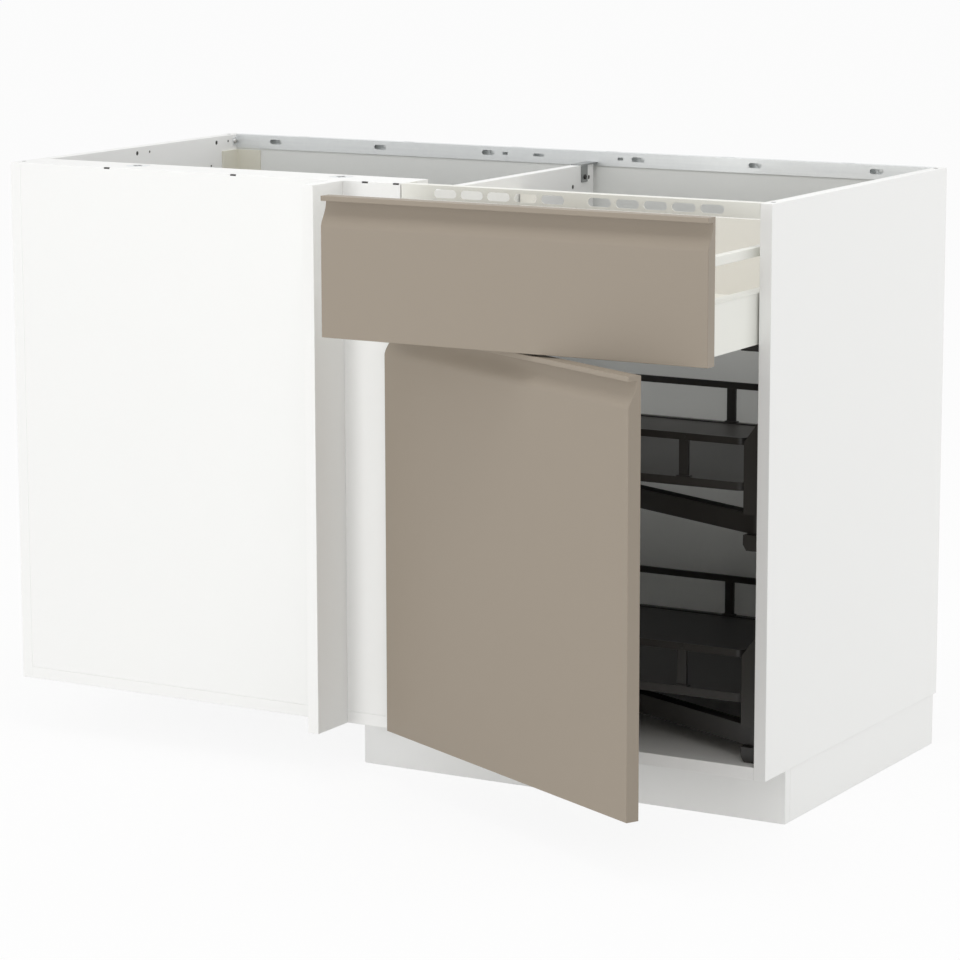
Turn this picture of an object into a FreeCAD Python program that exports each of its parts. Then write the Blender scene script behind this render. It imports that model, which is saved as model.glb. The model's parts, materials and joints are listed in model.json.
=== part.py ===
import FreeCAD, Part
import math
import os

from FreeCAD import Vector

# Corner base cabinet with one door, one drawer and two swing-out corner trays.
# Working frame in millimetres: x to the right from the left side panel's outer face,
# y to the back from the side panels' front edges, z up from the floor.
# The solids are saved about the point on the floor under the middle of the whole object.

# Carcass boards
cabinet_width = 1275.0
cabinet_depth = 600.0
carcass_height = 800.0
plinth_height = 80.0
board = 18.0
edge_radius = 0.8
door_bay_width = 600.0
filler_offset = 80.0
filler_reach = 80.0
panel_slit = 2.0
hinge_post_depth = 80.0
partition_drop = 18.0
partition_height = 182.0
partition_back_gap = 25.0

# Back panel in its grooves
back_thickness = 3.0
back_inset = 10.0
groove_depth = 8.0
groove_clearance = 0.25
back_lap = 6.0

# Steel rails
rail_sheet = 1.5
back_rail_height = 22.0
rail_tab_length = 11.0
rail_tab_margin = 5.0
rail_slot_length = 23.0
rail_slot_width = 7.5
rail_slot_drop = 10.0
rail_slot_pitch = 201.0
rail_slot_left_margin = 78.0
rail_slot_right_margin = 89.0
rail_slots_per_side = 3
rail_key_length = 9.5
rail_key_width = 4.5
rail_key_offset = 31.0
rail_middle_slot_length = 20.0
rail_middle_slot_offset = 92.0
rail_lip_height = 22.0
rail_lip_hole_radius = 4.2
flange_slot_length = 22.0
flange_slot_width = 4.5
flange_slot_offset = 50.0
vent_rail_height = 21.0
vent_rail_depth = 18.0
vent_slot_length = 36.5
vent_slot_width = 12.0
vent_slot_pitch = 43.3
vent_slots_per_group = 5
vent_group_offset = 123.5
vent_slot_rise = 9.75

# Front stretcher, its cover caps and the blind panel's clips
stretcher_depth = 56.0
cap_radius = 17.5
cap_depth = 12.0
cap_clearance = 0.5
cap_slot_width = 4.0
cap_slot_depth = 4.0
cap_left_margin = 185.0
cap_right_margin = 130.0
clip_length = 9.5
clip_width = 4.0
clip_depth = 2.4
clip_left_margin = 156.0
clip_right_margin = 64.0
clip_count = 3
clip_end_margin = 12.0
flush_drop = 0.2

# Holes and plugs in the upright boards
fixing_hole_depth = 10.0
large_hole_radius = 3.5
small_hole_radius = 2.2
fixing_hole_drop = 10.0
fixing_hole_pair = 34.0
fixing_hole_places = (305.0, 528.0)
low_hole_place = 512.0
low_hole_drop = 47.0
partition_holes = ((66.0, 31.0), (14.0, 20.0))
plug_radius = 3.5
plug_depth = 8.0
plug_margin = 22.0

# Corner cleat, partition bracket and screws
cleat_side = 44.0
cleat_back = 47.0
cleat_thickness = 3.0
cleat_gap = 3.0
bracket_sheet = 2.0
bracket_leg = 18.0
bracket_setback = 22.0
bracket_drop = 18.0
bracket_height = 26.0
screw_head_radius = 4.0
screw_head_height = 2.2
screw_shank_radius = 1.9
screw_shank_length = 12.0
screw_clearance = 0.1

# Plinth, clips and legs
plinth_board = 16.0
plinth_setback = 76.0
plinth_side_inset = 5.0
plinth_top_gap = 1.0
leg_front_setback = 130.0
leg_back_margin = 60.0
leg_side_margin = 60.0
leg_plate_side = 70.0
leg_plate_thickness = 5.0
leg_socket_radius = 20.0
leg_socket_height = 13.0
leg_tube_radius = 16.0
leg_foot_radius = 28.0
leg_foot_height = 12.0
leg_stem_radius = 11.0
leg_stem_height = 10.0
clip_ring_wall = 4.0
clip_ring_height = 16.0
clip_ring_clearance = 0.1
clip_ring_rise = 30.0
clip_plate_width = 40.0
clip_plate_height = 34.0
clip_plate_thickness = 3.0
clip_neck_width = 14.0
corner_clip_leg = 18.0
corner_clip_height = 50.0

# Fronts with a finger grip milled along the top
front_gap = 3.0
front_standoff = 3.0
front_thickness = 20.0
front_edge_radius = 0.8
drawer_front_height = 197.0
grip_lip = 7.0
grip_depth = 13.5
grip_height = 44.0
grip_upright = 19.0
grip_run_out = 12.0

# Resting pose: the drawer partly out and the door ajar
drawer_out = 165.0
door_open = 26.5

# Drawer box
runner_start = 12.0
runner_length = 500.0
runner_height = 45.0
runner_width = 13.0
runner_sheet = 1.5
runner_clearance = 0.3
runner_rise = 4.0
runner_drop = 8.0
runner_flange_height = 24.0
stop_setback = 3.0
stop_drop = 2.0
stop_clearance = 0.6
drawer_gap = 3.0
drawer_side_width = 25.0
drawer_side_sheet = 1.2
drawer_side_height = 69.0
drawer_side_bottom = 688.0
drawer_side_length = 515.0
drawer_floor_thickness = 16.0
drawer_floor_lip = 14.0
drawer_back_thickness = 12.0
drawer_back_height = 128.0
drawer_back_post_height = 150.0
gallery_size = 13.0
gallery_wall = 1.2
gallery_rise = 118.0
front_bracket_height = 152.0
front_bracket_thickness = 3.0
front_bracket_reach = 45.0

# Single-axis cup hinges
hinge_axis_inset = 8.5
hinge_axis_depth = 8.0
hinge_margin = 100.0
cup_radius = 17.5
cup_inset = 22.0
cup_wall = 0.7
cup_depth = 15.5
cup_flange_height = 56.0
cup_flange_start = 10.0
cup_flange_end = 34.0
cup_flange_thickness = 1.2
cup_ear_near = 4.4
cup_ear_far = 8.0
cup_ear_left = 1.6
cup_ear_right = 2.5
cup_ear_height = 3.5
hinge_pin_radius = 1.2
hinge_pin_clearance = 0.05
hinge_knuckle_radius = 2.4
hinge_knuckle_height = 8.0
hinge_neck_front = 1.6
hinge_neck_back = 1.2
hinge_arm_sheet = 2.8
hinge_arm_height = 12.0
hinge_arm_end = 62.0
hinge_plate_thickness = 7.2
hinge_plate_start = 22.0
hinge_plate_height = 44.0
bumper_radius = 5.0
bumper_height = 2.6
bumper_inset = 8.0
bumper_margin = 40.0

# Corner trays, one level above the other
tray_levels = ("lower", "upper")
level_pitch = 300.0
tray_bracket_width = 30.0
tray_bracket_depth = 40.0
tray_bracket_setback = 20.0
tray_bracket_height = 185.0
tray_bracket_chamfer = 34.0
tray_bracket_foot = 8.0
tray_bracket_notch = 5.0
arm_pin_inset = 17.0
arm_pin_radius = 4.0
arm_pin_clearance = 0.05
arm_pin_reach = 12.0
arm_rise = 22.0
arm_height = 28.0
arm_width = 22.0
arm_wall = 3.0
arm_length = 480.0
arm_angle = 156.8
arm_clearance = 0.3
tray_rise = 76.0
tray_thickness = 12.0
tray_recess = 2.0
tray_rim = 10.0
tray_front = 52.0
tray_back = 512.0
tray_right_gap = 42.0
tray_waist = 81.0
tray_left = 330.0
tray_lobe_front = 282.0
tray_front_corner = 15.0
tray_back_corner = 60.0
tray_waist_corner = 60.0
tray_inner_corner = 40.0
tray_lobe_corner = 110.0
tray_hub_radius = 26.0
tray_hub_height = 8.0
tray_pin_radius = 6.0
tray_pin_seat = 20.0
tray_pin_reach = 8.0
tray_collar_radius = 13.0
fence_inset = 3.0
fence_thickness = 4.0
fence_height = 10.0
fence_rise = 52.0
post_width = 14.0
post_thickness = 5.0
post_foot_width = 20.0
post_foot_depth = 9.0
post_foot_height = 2.0
post_front_from_right = 98.0
post_back_from_right = 245.0
post_back_from_left = 100.0

# Levels and faces that the sizes above give
inside_floor = plinth_height + board
top_z = plinth_height + carcass_height
inside_left = board
inside_right = cabinet_width - board
bay_left = cabinet_width - door_bay_width
bay_face = bay_left + board
bay_middle = (bay_face + inside_right) / 2
filler_face = bay_left - filler_offset
back_face = cabinet_depth - back_inset - back_thickness
rail_face = back_face - rail_sheet
rail_bottom = top_z - back_rail_height
partition_top = top_z - partition_drop
partition_bottom = partition_top - partition_height
partition_back = cabinet_depth - partition_back_gap
blind_right = bay_face - panel_slit
plinth_top = plinth_height - plinth_top_gap
plinth_right = cabinet_width - plinth_side_inset
plinth_left = filler_face - board

front_left = bay_left + front_gap / 2
front_right = cabinet_width - front_gap / 2
front_back_y = -front_standoff
front_face_y = -front_standoff - front_thickness
door_bottom = plinth_height + front_gap / 2
drawer_front_top = top_z - front_gap / 2
drawer_front_bottom = drawer_front_top - drawer_front_height
door_top = drawer_front_bottom - front_gap

drawer_face = inside_right - drawer_gap
drawer_inner = drawer_face - drawer_side_width
drawer_side_top = drawer_side_bottom + drawer_side_height
drawer_floor_bottom = drawer_side_bottom + drawer_side_sheet
drawer_back_face = drawer_side_length - drawer_back_thickness
gallery_bottom = drawer_side_bottom + gallery_rise
gallery_x = (drawer_inner + drawer_face) / 2
runner_bottom = drawer_side_bottom + runner_rise
runner_foot = drawer_side_bottom - runner_drop
runner_near = drawer_inner + drawer_side_sheet
runner_far = runner_near + runner_width

hinge_x = front_left + hinge_axis_inset
hinge_y = front_face_y + hinge_axis_depth
hinge_levels = (door_bottom + hinge_margin, door_top - hinge_margin)
arm_pin_x = inside_right - arm_pin_inset
arm_pin_y = tray_bracket_setback + tray_bracket_depth / 2
tray_right = inside_right - tray_right_gap
tray_waist_x = bay_left + tray_waist
tray_pin_x = arm_pin_x + arm_length * math.cos(math.radians(arm_angle))
tray_pin_y = arm_pin_y + arm_length * math.sin(math.radians(arm_angle))

# The door's free corner is the foremost point, and sets the middle of the whole depth
door_reach = front_right - hinge_x
door_turn = math.radians(door_open)
foremost = hinge_y - door_reach * math.sin(door_turn) - hinge_axis_depth * math.cos(door_turn)
origin = Vector(cabinet_width / 2, (cabinet_depth + foremost) / 2, 0)

X_AXIS = Vector(1, 0, 0)
Y_AXIS = Vector(0, 1, 0)
Z_AXIS = Vector(0, 0, 1)


def box(x, y, z):
    """A block between the low and high values given for each axis."""
    corner = Vector(x[0], y[0], z[0])
    return Part.makeBox(x[1] - x[0], y[1] - y[0], z[1] - z[0], corner)


def soft_box(x, y, z):
    """A board with slightly rounded edges."""
    block = box(x, y, z)
    return block.makeFillet(edge_radius, block.Edges)


def rod(place, radius, length, axis):
    """A round bar that starts at a place and runs along an axis."""
    return Part.makeCylinder(radius, length, Vector(*place), axis)


def prism(points, travel):
    """A flat outline pushed along a vector."""
    return Part.Face(Part.makePolygon(points + points[:1])).extrude(travel)


def mirrored(shape):
    """The same piece on the other side of the door bay."""
    return shape.mirror(Vector(bay_middle, 0, 0), X_AXIS)


def oval(middle, length, width, depth, axis):
    """A cutter for a slot that runs along x, with round ends, pushed along an axis."""
    half = length / 2 - width / 2
    across = axis.cross(X_AXIS)
    start = middle - axis * (depth / 2)
    core = [
        start + X_AXIS * (side * half) + across * (up * width / 2)
        for side, up in ((-1, -1), (1, -1), (1, 1), (-1, 1))
    ]
    cutter = prism(core, axis * depth)
    for side in (-1, 1):
        end = start + X_AXIS * (side * half)
        cutter = cutter.fuse(Part.makeCylinder(width / 2, depth, end, axis))
    return cutter.removeSplitter()


def screw(seat, into):
    """A pan-head screw whose head rests on a seat and whose shank runs into the work."""
    head = Part.makeCylinder(screw_head_radius, screw_head_height, seat, into * -1)
    crown = head.Edges[0] if head.Edges[0].CenterOfMass != seat else head.Edges[-1]
    head = head.makeFillet(screw_head_height / 3, [crown])
    return head.fuse(Part.makeCylinder(screw_shank_radius, screw_shank_length, seat, into))


def screw_hole(seat, into):
    """The clearance hole that belongs to a screw."""
    return Part.makeCylinder(screw_shank_radius + screw_clearance, screw_shank_length, seat, into)


def group(shapes):
    """Separate solids that share a node."""
    return Part.makeCompound(shapes)


# Fasteners that join the rails and the partition: (seat, direction into the work)
rail_screw_z = top_z - back_rail_height / 2
rail_screw_y = rail_face - rail_tab_length / 2
vent_screw_z = top_z - vent_rail_height / 2
vent_screw_y = (board + vent_rail_depth + rail_tab_length) / 2
bracket_back = partition_back - bracket_setback
partition_screw_y = bracket_back - bracket_leg / 2
partition_screw_z = partition_top - bracket_drop
rail_screws = (
    (Vector(inside_left + rail_sheet, rail_screw_y, rail_screw_z), X_AXIS * -1),
    (Vector(inside_right - rail_sheet, rail_screw_y, rail_screw_z), X_AXIS),
    (Vector(inside_right - rail_sheet, vent_screw_y, vent_screw_z), X_AXIS),
)
bracket_screws = ((Vector(bay_face + bracket_sheet, partition_screw_y, partition_screw_z), X_AXIS * -1),)


def drill(shape, screws):
    """A piece with the clearance holes of the given screws."""
    for seat, into in screws:
        shape = shape.cut(screw_hole(seat, into))
    return shape


def plug_places():
    """Centres of the round plugs in the side panels' top edges."""
    rows = (plug_margin, cabinet_depth - plug_margin)
    return [(x, y) for x in (board / 2, cabinet_width - board / 2) for y in rows]


def plug(place, clearance=0.0, drop=0.0):
    """A round plug let into a panel's top edge."""
    seat = (place[0], place[1], top_z - plug_depth)
    return rod(seat, plug_radius + clearance, plug_depth - drop, Z_AXIS)


def side_panel(left):
    """A side panel with its back groove, its fixing holes and its plug holes."""
    outer = 0.0 if left else inside_right
    panel = soft_box((outer, outer + board), (0, cabinet_depth), (plinth_height, top_z))
    inner = inside_left if left else inside_right
    into = X_AXIS * (-1 if left else 1)
    groove_x = (inner - groove_depth, inner) if left else (inner, inner + groove_depth)
    groove_y = (back_face - groove_clearance, back_face + back_thickness + groove_clearance)
    panel = panel.cut(box(groove_x, groove_y, (plinth_height, top_z)))
    for y in fixing_hole_places:
        for offset, radius in ((0.0, large_hole_radius), (fixing_hole_pair, small_hole_radius)):
            place = (inner, y + offset, top_z - fixing_hole_drop)
            panel = panel.cut(rod(place, radius, fixing_hole_depth, into))
    low_hole = (inner, low_hole_place, top_z - low_hole_drop)
    panel = panel.cut(rod(low_hole, small_hole_radius, fixing_hole_depth, into))
    for place in plug_places():
        panel = panel.cut(plug(place, cap_clearance))
    return drill(panel, rail_screws)


def bottom_panel():
    """The floor board, grooved along its back for the back panel."""
    panel = box((inside_left, inside_right), (0, cabinet_depth), (plinth_height, inside_floor))
    front = [edge for edge in panel.Edges if edge.CenterOfMass.y < edge_radius and edge.Length > board]
    panel = panel.makeFillet(edge_radius, front)
    groove_y = (back_face - groove_clearance, back_face + back_thickness + groove_clearance)
    return panel.cut(box((inside_left, inside_right), groove_y, (inside_floor - groove_depth, inside_floor)))


def back_panel():
    """A thin board held in the grooves of the sides and the floor."""
    slack = groove_depth - groove_clearance
    x = (inside_left - slack, inside_right + slack)
    return box(x, (back_face, back_face + back_thickness), (inside_floor - slack, rail_bottom + back_lap))


def rail_slot_places():
    """Slot centres along the back rail, counted from both ends."""
    steps = [rail_slot_pitch * step for step in range(rail_slots_per_side)]
    left = [inside_left + rail_slot_left_margin + step for step in steps]
    return left, [inside_right - rail_slot_right_margin - step for step in steps]


def back_rail():
    """A folded steel rail across the back, with slots and a drilled rear lip for the wall fixings."""
    x = (inside_left, inside_right)
    rail = box(x, (rail_face, back_face), (rail_bottom, top_z))
    rail = rail.fuse(box(x, (rail_face, cabinet_depth), (top_z - rail_sheet, top_z)))
    lip_y = (cabinet_depth - rail_sheet, cabinet_depth)
    rail = rail.fuse(box(x, lip_y, (top_z - rail_lip_height, top_z)))
    tab_z = (rail_bottom + rail_tab_margin, top_z - rail_tab_margin)
    tab_y = (rail_face - rail_tab_length, back_face)
    for end in (inside_left, inside_right - rail_sheet):
        rail = rail.fuse(box((end, end + rail_sheet), tab_y, tab_z))
    rail = rail.removeSplitter()
    left, right = rail_slot_places()
    slot_z = top_z - rail_slot_drop
    for place in left + right:
        middle = Vector(place, rail_face, slot_z)
        rail = rail.cut(oval(middle, rail_slot_length, rail_slot_width, 4 * rail_sheet, Y_AXIS))
        rail = rail.cut(rod((place, lip_y[0], slot_z), rail_lip_hole_radius, rail_sheet, Y_AXIS))
    half = rail_key_length / 2
    key_z = (slot_z - rail_key_width / 2, slot_z + rail_key_width / 2)
    for place in (left[-1] + rail_key_offset, right[-1] - rail_key_offset):
        rail = rail.cut(box((place - half, place + half), (rail_face, back_face), key_z))
    middle = Vector(left[-1] + rail_middle_slot_offset, rail_face, slot_z)
    rail = rail.cut(oval(middle, rail_middle_slot_length, rail_key_width, 4 * rail_sheet, Y_AXIS))
    flange_y = (back_face + cabinet_depth) / 2
    for place in [x + flange_slot_offset for x in left] + [x - flange_slot_offset for x in right]:
        middle = Vector(place, flange_y, top_z)
        rail = rail.cut(oval(middle, flange_slot_length, flange_slot_width, 4 * rail_sheet, Z_AXIS))
    return drill(rail, rail_screws)


def clip_places():
    """Left ends of the clips along the blind panel's top edge."""
    first = inside_left + clip_left_margin
    step = (blind_right - clip_right_margin - first) / (clip_count - 1)
    places = [first + step * index for index in range(clip_count)]
    return places + [blind_right - clip_end_margin]


def panel_clip(left, clearance=0.0, drop=0.0):
    """A small dark cover let into the front top edge of the blind panel."""
    x = (left - clearance, left + clip_length + clearance)
    return box(x, (0, clip_width + clearance), (top_z - clip_depth, top_z - drop))


def blind_front_panel():
    """The fixed front that closes the corner side."""
    panel = soft_box((inside_left, blind_right), (0, board), (inside_floor, top_z))
    for left in clip_places():
        panel = panel.cut(panel_clip(left, cap_clearance))
    return panel


def filler_panel():
    """The upright board that stands forward of the blind front."""
    return soft_box((filler_face - board, filler_face), (-filler_reach, 0), (plinth_height, top_z))


def cap_places():
    """Centres of the round cover caps on the front stretcher."""
    y = board + stretcher_depth / 2
    return ((inside_left + cap_left_margin, y), (bay_face - cap_right_margin, y))


def front_stretcher():
    """A flat board behind the blind front, with pockets for two connectors."""
    rail = box((inside_left, bay_face), (board, board + stretcher_depth), (top_z - board, top_z))
    for x, y in cap_places():
        rail = rail.cut(rod((x, y, top_z - cap_depth), cap_radius + cap_clearance, cap_depth, Z_AXIS))
    return rail


def cover_cap(x, y):
    """A round connector cap with a screwdriver cross in its top."""
    cap = rod((x, y, top_z - cap_depth), cap_radius, cap_depth - flush_drop, Z_AXIS)
    half = cap_radius / 2
    slot_z = (top_z - flush_drop - cap_slot_depth, top_z)
    cap = cap.cut(box((x - half, x + half), (y - cap_slot_width / 2, y + cap_slot_width / 2), slot_z))
    return cap.cut(box((x - cap_slot_width / 2, x + cap_slot_width / 2), (y - half, y + half), slot_z))


def vent_rail():
    """A folded steel rail over the drawer, with two groups of vent slots."""
    bottom = top_z - vent_rail_height
    x = (bay_face, inside_right)
    rail = box(x, (0, rail_sheet), (bottom, top_z))
    rail = rail.fuse(box(x, (0, vent_rail_depth), (top_z - rail_sheet, top_z)))
    tab_y = (0, board + vent_rail_depth + rail_tab_length / 2)
    for end in (bay_face, inside_right - rail_sheet):
        rail = rail.fuse(box((end, end + rail_sheet), tab_y, (bottom, top_z)))
    rail = rail.removeSplitter()
    middle_step = (vent_slots_per_group - 1) / 2
    for side in (-1, 1):
        for step in range(vent_slots_per_group):
            x_slot = bay_middle + side * vent_group_offset + vent_slot_pitch * (step - middle_step)
            middle = Vector(x_slot, 0, bottom + vent_slot_rise)
            rail = rail.cut(oval(middle, vent_slot_length, vent_slot_width, 4 * rail_sheet, Y_AXIS))
    return drill(rail, rail_screws)


def drawer_partition():
    """The upright board that carries the drawer's left runner."""
    panel = box((bay_left, bay_face), (board, partition_back), (partition_bottom, partition_top))
    for margin, drop in partition_holes:
        place = (bay_face, partition_back - margin, partition_top - drop)
        panel = panel.cut(rod(place, large_hole_radius, fixing_hole_depth, X_AXIS * -1))
    return drill(panel, bracket_screws)


def hinge_post():
    """The upright board that carries the door's hinges."""
    y = (board, board + hinge_post_depth)
    return box((bay_left, bay_face), y, (inside_floor, partition_bottom))


def partition_bracket():
    """A clip on the partition's face, with a tongue over its top that reaches the back rail."""
    x = (bay_face, bay_face + bracket_sheet)
    front = bracket_back - bracket_leg
    top = partition_top + bracket_sheet
    plate = box(x, (front, bracket_back), (partition_top - bracket_height, top))
    tongue = box((bay_left, x[1]), (front, rail_face), (partition_top, top))
    return drill(plate.fuse(tongue).removeSplitter(), bracket_screws)


def corner_cleat():
    """An angle strip that stiffens the back left corner."""
    z = (inside_floor, rail_bottom - cleat_gap)
    side = box((inside_left, inside_left + cleat_thickness), (back_face - cleat_side, back_face), z)
    back_y = (back_face - cleat_thickness, back_face)
    return side.fuse(box((inside_left, inside_left + cleat_back), back_y, z)).removeSplitter()


def plinth_front():
    """The plinth board under the door."""
    y = (plinth_setback, plinth_setback + plinth_board)
    return soft_box((plinth_left, plinth_right), y, (0, plinth_top))


def plinth_side():
    """The plinth board that returns along the right side."""
    y = (plinth_setback + plinth_board, cabinet_depth)
    return soft_box((plinth_right - plinth_board, plinth_right), y, (0, plinth_top))


def leg_rows():
    """Leg centres: two behind the front plinth and three along the back."""
    right = cabinet_width - leg_side_margin
    middle = plinth_left + leg_side_margin
    back = cabinet_depth - leg_back_margin
    front = [(middle, leg_front_setback), (right, leg_front_setback)]
    return front, [(leg_side_margin, back), (middle, back), (right, back)]


def leg_plate(x, y):
    """A screw-on plate with the socket of a leg."""
    half = leg_plate_side / 2
    z = (plinth_height - leg_plate_thickness, plinth_height)
    plate = box((x - half, x + half), (y - half, y + half), z)
    return plate.fuse(rod((x, y, z[0] - leg_socket_height), leg_socket_radius, leg_socket_height, Z_AXIS))


def leg_tube(x, y):
    """The tube between a leg's socket and its foot."""
    bottom = leg_foot_height + leg_stem_height
    top = plinth_height - leg_plate_thickness - leg_socket_height
    return rod((x, y, bottom), leg_tube_radius, top - bottom, Z_AXIS)


def leg_foot(x, y):
    """A levelling foot with its stem."""
    foot = rod((x, y, 0), leg_foot_radius, leg_foot_height, Z_AXIS)
    foot = foot.makeFillet(leg_foot_height / 4, [foot.Edges[0]])
    return foot.fuse(rod((x, y, leg_foot_height), leg_stem_radius, leg_stem_height, Z_AXIS))


def plinth_clip(x, y):
    """A clip that holds the front plinth on a leg's tube."""
    wall = plinth_setback + plinth_board
    z = (clip_ring_rise, clip_ring_rise + clip_ring_height)
    bore = leg_tube_radius + clip_ring_clearance
    ring = rod((x, y, z[0]), bore + clip_ring_wall, clip_ring_height, Z_AXIS)
    neck = box((x - clip_neck_width / 2, x + clip_neck_width / 2), (wall, y), z)
    plate_bottom = z[0] + clip_ring_height / 2 - clip_plate_height / 2
    plate_x = (x - clip_plate_width / 2, x + clip_plate_width / 2)
    plate_y = (wall, wall + clip_plate_thickness)
    plate = box(plate_x, plate_y, (plate_bottom, plate_bottom + clip_plate_height))
    clip = ring.fuse(neck).fuse(plate)
    return clip.cut(rod((x, y, z[0]), bore, clip_ring_height, Z_AXIS)).removeSplitter()


def plinth_corner_clip():
    """An angle that joins the two plinth boards from inside."""
    right = plinth_right - plinth_board
    front = plinth_setback + plinth_board
    low = (plinth_top - corner_clip_height) / 2
    z = (low, low + corner_clip_height)
    along = box((right - corner_clip_leg, right), (front, front + clip_plate_thickness), z)
    back = box((right - clip_plate_thickness, right), (front, front + corner_clip_leg), z)
    return along.fuse(back).removeSplitter()


def front_board(x, bottom, top):
    """A front with a finger grip milled along its top edge, at its closed place."""

    def at(depth, drop):
        return Vector(x[0], front_face_y + depth, top - drop)

    height = top - bottom
    corners = [
        at(0, grip_height),
        at(0, height),
        at(front_thickness, height),
        at(front_thickness, 0),
        at(0, 0),
        at(0, grip_lip),
        at(grip_depth, grip_lip),
    ]
    edges = [Part.LineSegment(first, last).toShape() for first, last in zip(corners, corners[1:])]
    scoop = Part.BezierCurve()
    under_lip = at(grip_depth, grip_lip + grip_upright)
    scoop.setPoles([corners[-1], under_lip, at(0, grip_height - grip_run_out), corners[0]])
    edges.append(scoop.toShape())
    outline = Part.Face(Part.Wire(Part.__sortEdges__(edges)))
    front = outline.extrude(X_AXIS * (x[1] - x[0]))
    outer = [edge for edge in front.Edges if edge.CenterOfMass.y < front_face_y + edge_radius / 2]
    scoop_end = top - grip_height
    outer = [edge for edge in outer if abs(edge.CenterOfMass.z - scoop_end) > edge_radius]
    return front.makeFillet(front_edge_radius, outer)


def drawn_out(shape, share=1.0):
    """A drawer piece moved from its closed place to its resting place."""
    return shape.translated(Vector(0, -drawer_out * share, 0))


def channel(web, rim, bottom, top):
    """A runner member of the right side: an upright web with a flange along each edge."""
    y = (runner_start, runner_start + runner_length)
    away = math.copysign(runner_sheet, rim - web)
    member = box(sorted((web, web + away)), y, (bottom, top))
    for low in (bottom, top - runner_sheet):
        member = member.fuse(box(sorted((web, rim)), y, (low, low + runner_sheet)))
    return member.removeSplitter()


def runner_member(layer):
    """A nested runner member inside the drawer side: 0 on the carcass, 1 between, 2 on the drawer."""
    step = (runner_sheet + runner_clearance) * layer
    bottom = runner_bottom + step
    top = runner_bottom + runner_height - step
    if layer == 2:
        return channel(runner_near, runner_far - step, bottom, top)
    return channel(runner_far - step, runner_near + 2 * runner_sheet, bottom, top)


def runner_rail():
    """The carcass member, on a foot that runs under the drawer side to a flange on the board."""
    y = (runner_start, runner_start + runner_length)
    web = box((runner_far - runner_sheet, runner_far), y, (runner_foot, runner_bottom))
    foot_x = (runner_far - runner_sheet, inside_right)
    foot = box(foot_x, y, (runner_foot, runner_foot + runner_sheet))
    flange_z = (runner_foot, runner_foot + runner_flange_height)
    flange = box((inside_right - runner_sheet, inside_right), y, flange_z)
    return runner_member(0).fuse(web).fuse(foot).fuse(flange).removeSplitter()


def runner_stop():
    """The block on the front end of a runner, close under the drawer side."""
    z = (runner_foot - stop_drop, drawer_side_bottom - stop_clearance)
    return box((drawer_inner, inside_right), (stop_setback, runner_start), z)


def drawer_side():
    """A folded steel side of the drawer, open below, with a lip under the floor."""
    y = (0, drawer_side_length)
    z = (drawer_side_bottom, drawer_side_top)
    side = box((drawer_inner, drawer_face), y, z)
    hollow_x = (drawer_inner + drawer_side_sheet, drawer_face - drawer_side_sheet)
    side = side.cut(box(hollow_x, y, (z[0], z[1] - drawer_side_sheet)))
    lip_x = (drawer_inner - drawer_floor_lip, drawer_inner + drawer_side_sheet)
    return side.fuse(box(lip_x, y, (z[0], drawer_floor_bottom))).removeSplitter()


def drawer_floor():
    """The drawer's floor board between its steel sides."""
    left = 2 * bay_middle - drawer_inner
    z = (drawer_floor_bottom, drawer_floor_bottom + drawer_floor_thickness)
    return box((left, drawer_inner), (front_back_y, drawer_back_face), z)


def drawer_back():
    """The drawer's back board, with a post over each steel side that holds the gallery rail."""
    y = (drawer_back_face, drawer_side_length)
    left = 2 * bay_middle - drawer_inner
    back = box((left, drawer_inner), y, (drawer_floor_bottom, drawer_floor_bottom + drawer_back_height))
    post_z = (drawer_side_top, drawer_floor_bottom + drawer_back_post_height)
    post = box((drawer_inner, drawer_face), y, post_z)
    return back.fuse(post).fuse(mirrored(post)).removeSplitter()


def gallery_rail():
    """A square tube above a drawer side, from the front bracket to the back."""
    x = (gallery_x - gallery_size / 2, gallery_x + gallery_size / 2)
    z = (gallery_bottom, gallery_bottom + gallery_size)
    y = (front_bracket_reach, drawer_back_face)
    bore = box(
        (x[0] + gallery_wall, x[1] - gallery_wall), y, (z[0] + gallery_wall, z[1] - gallery_wall)
    )
    tube = box(x, y, z)
    long_edges = [edge for edge in tube.Edges if edge.Length > gallery_size]
    return tube.makeFillet(gallery_wall, long_edges).cut(bore)


def front_bracket():
    """The plate that fixes the drawer front to a side, with the block that holds the gallery rail."""
    y = (front_back_y, front_back_y + front_bracket_thickness)
    z = (drawer_side_bottom, drawer_side_bottom + front_bracket_height)
    plate = box((drawer_inner, drawer_face), y, z)
    block_x = (gallery_x - gallery_size / 2, gallery_x + gallery_size / 2)
    block = box(block_x, (y[1], front_bracket_reach), (drawer_side_top, z[1]))
    return plate.fuse(block).removeSplitter()


def swung_open(shape):
    """A door piece turned from its closed place to its resting place."""
    turned = shape.copy()
    turned.rotate(Vector(hinge_x, hinge_y, 0), Z_AXIS, -door_open)
    return turned


def cup_bore(level, radius, depth):
    """The round space of a hinge cup, from the door's back face into the door."""
    return rod((front_left + cup_inset, front_back_y, level), radius, depth, Y_AXIS * -1)


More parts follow.
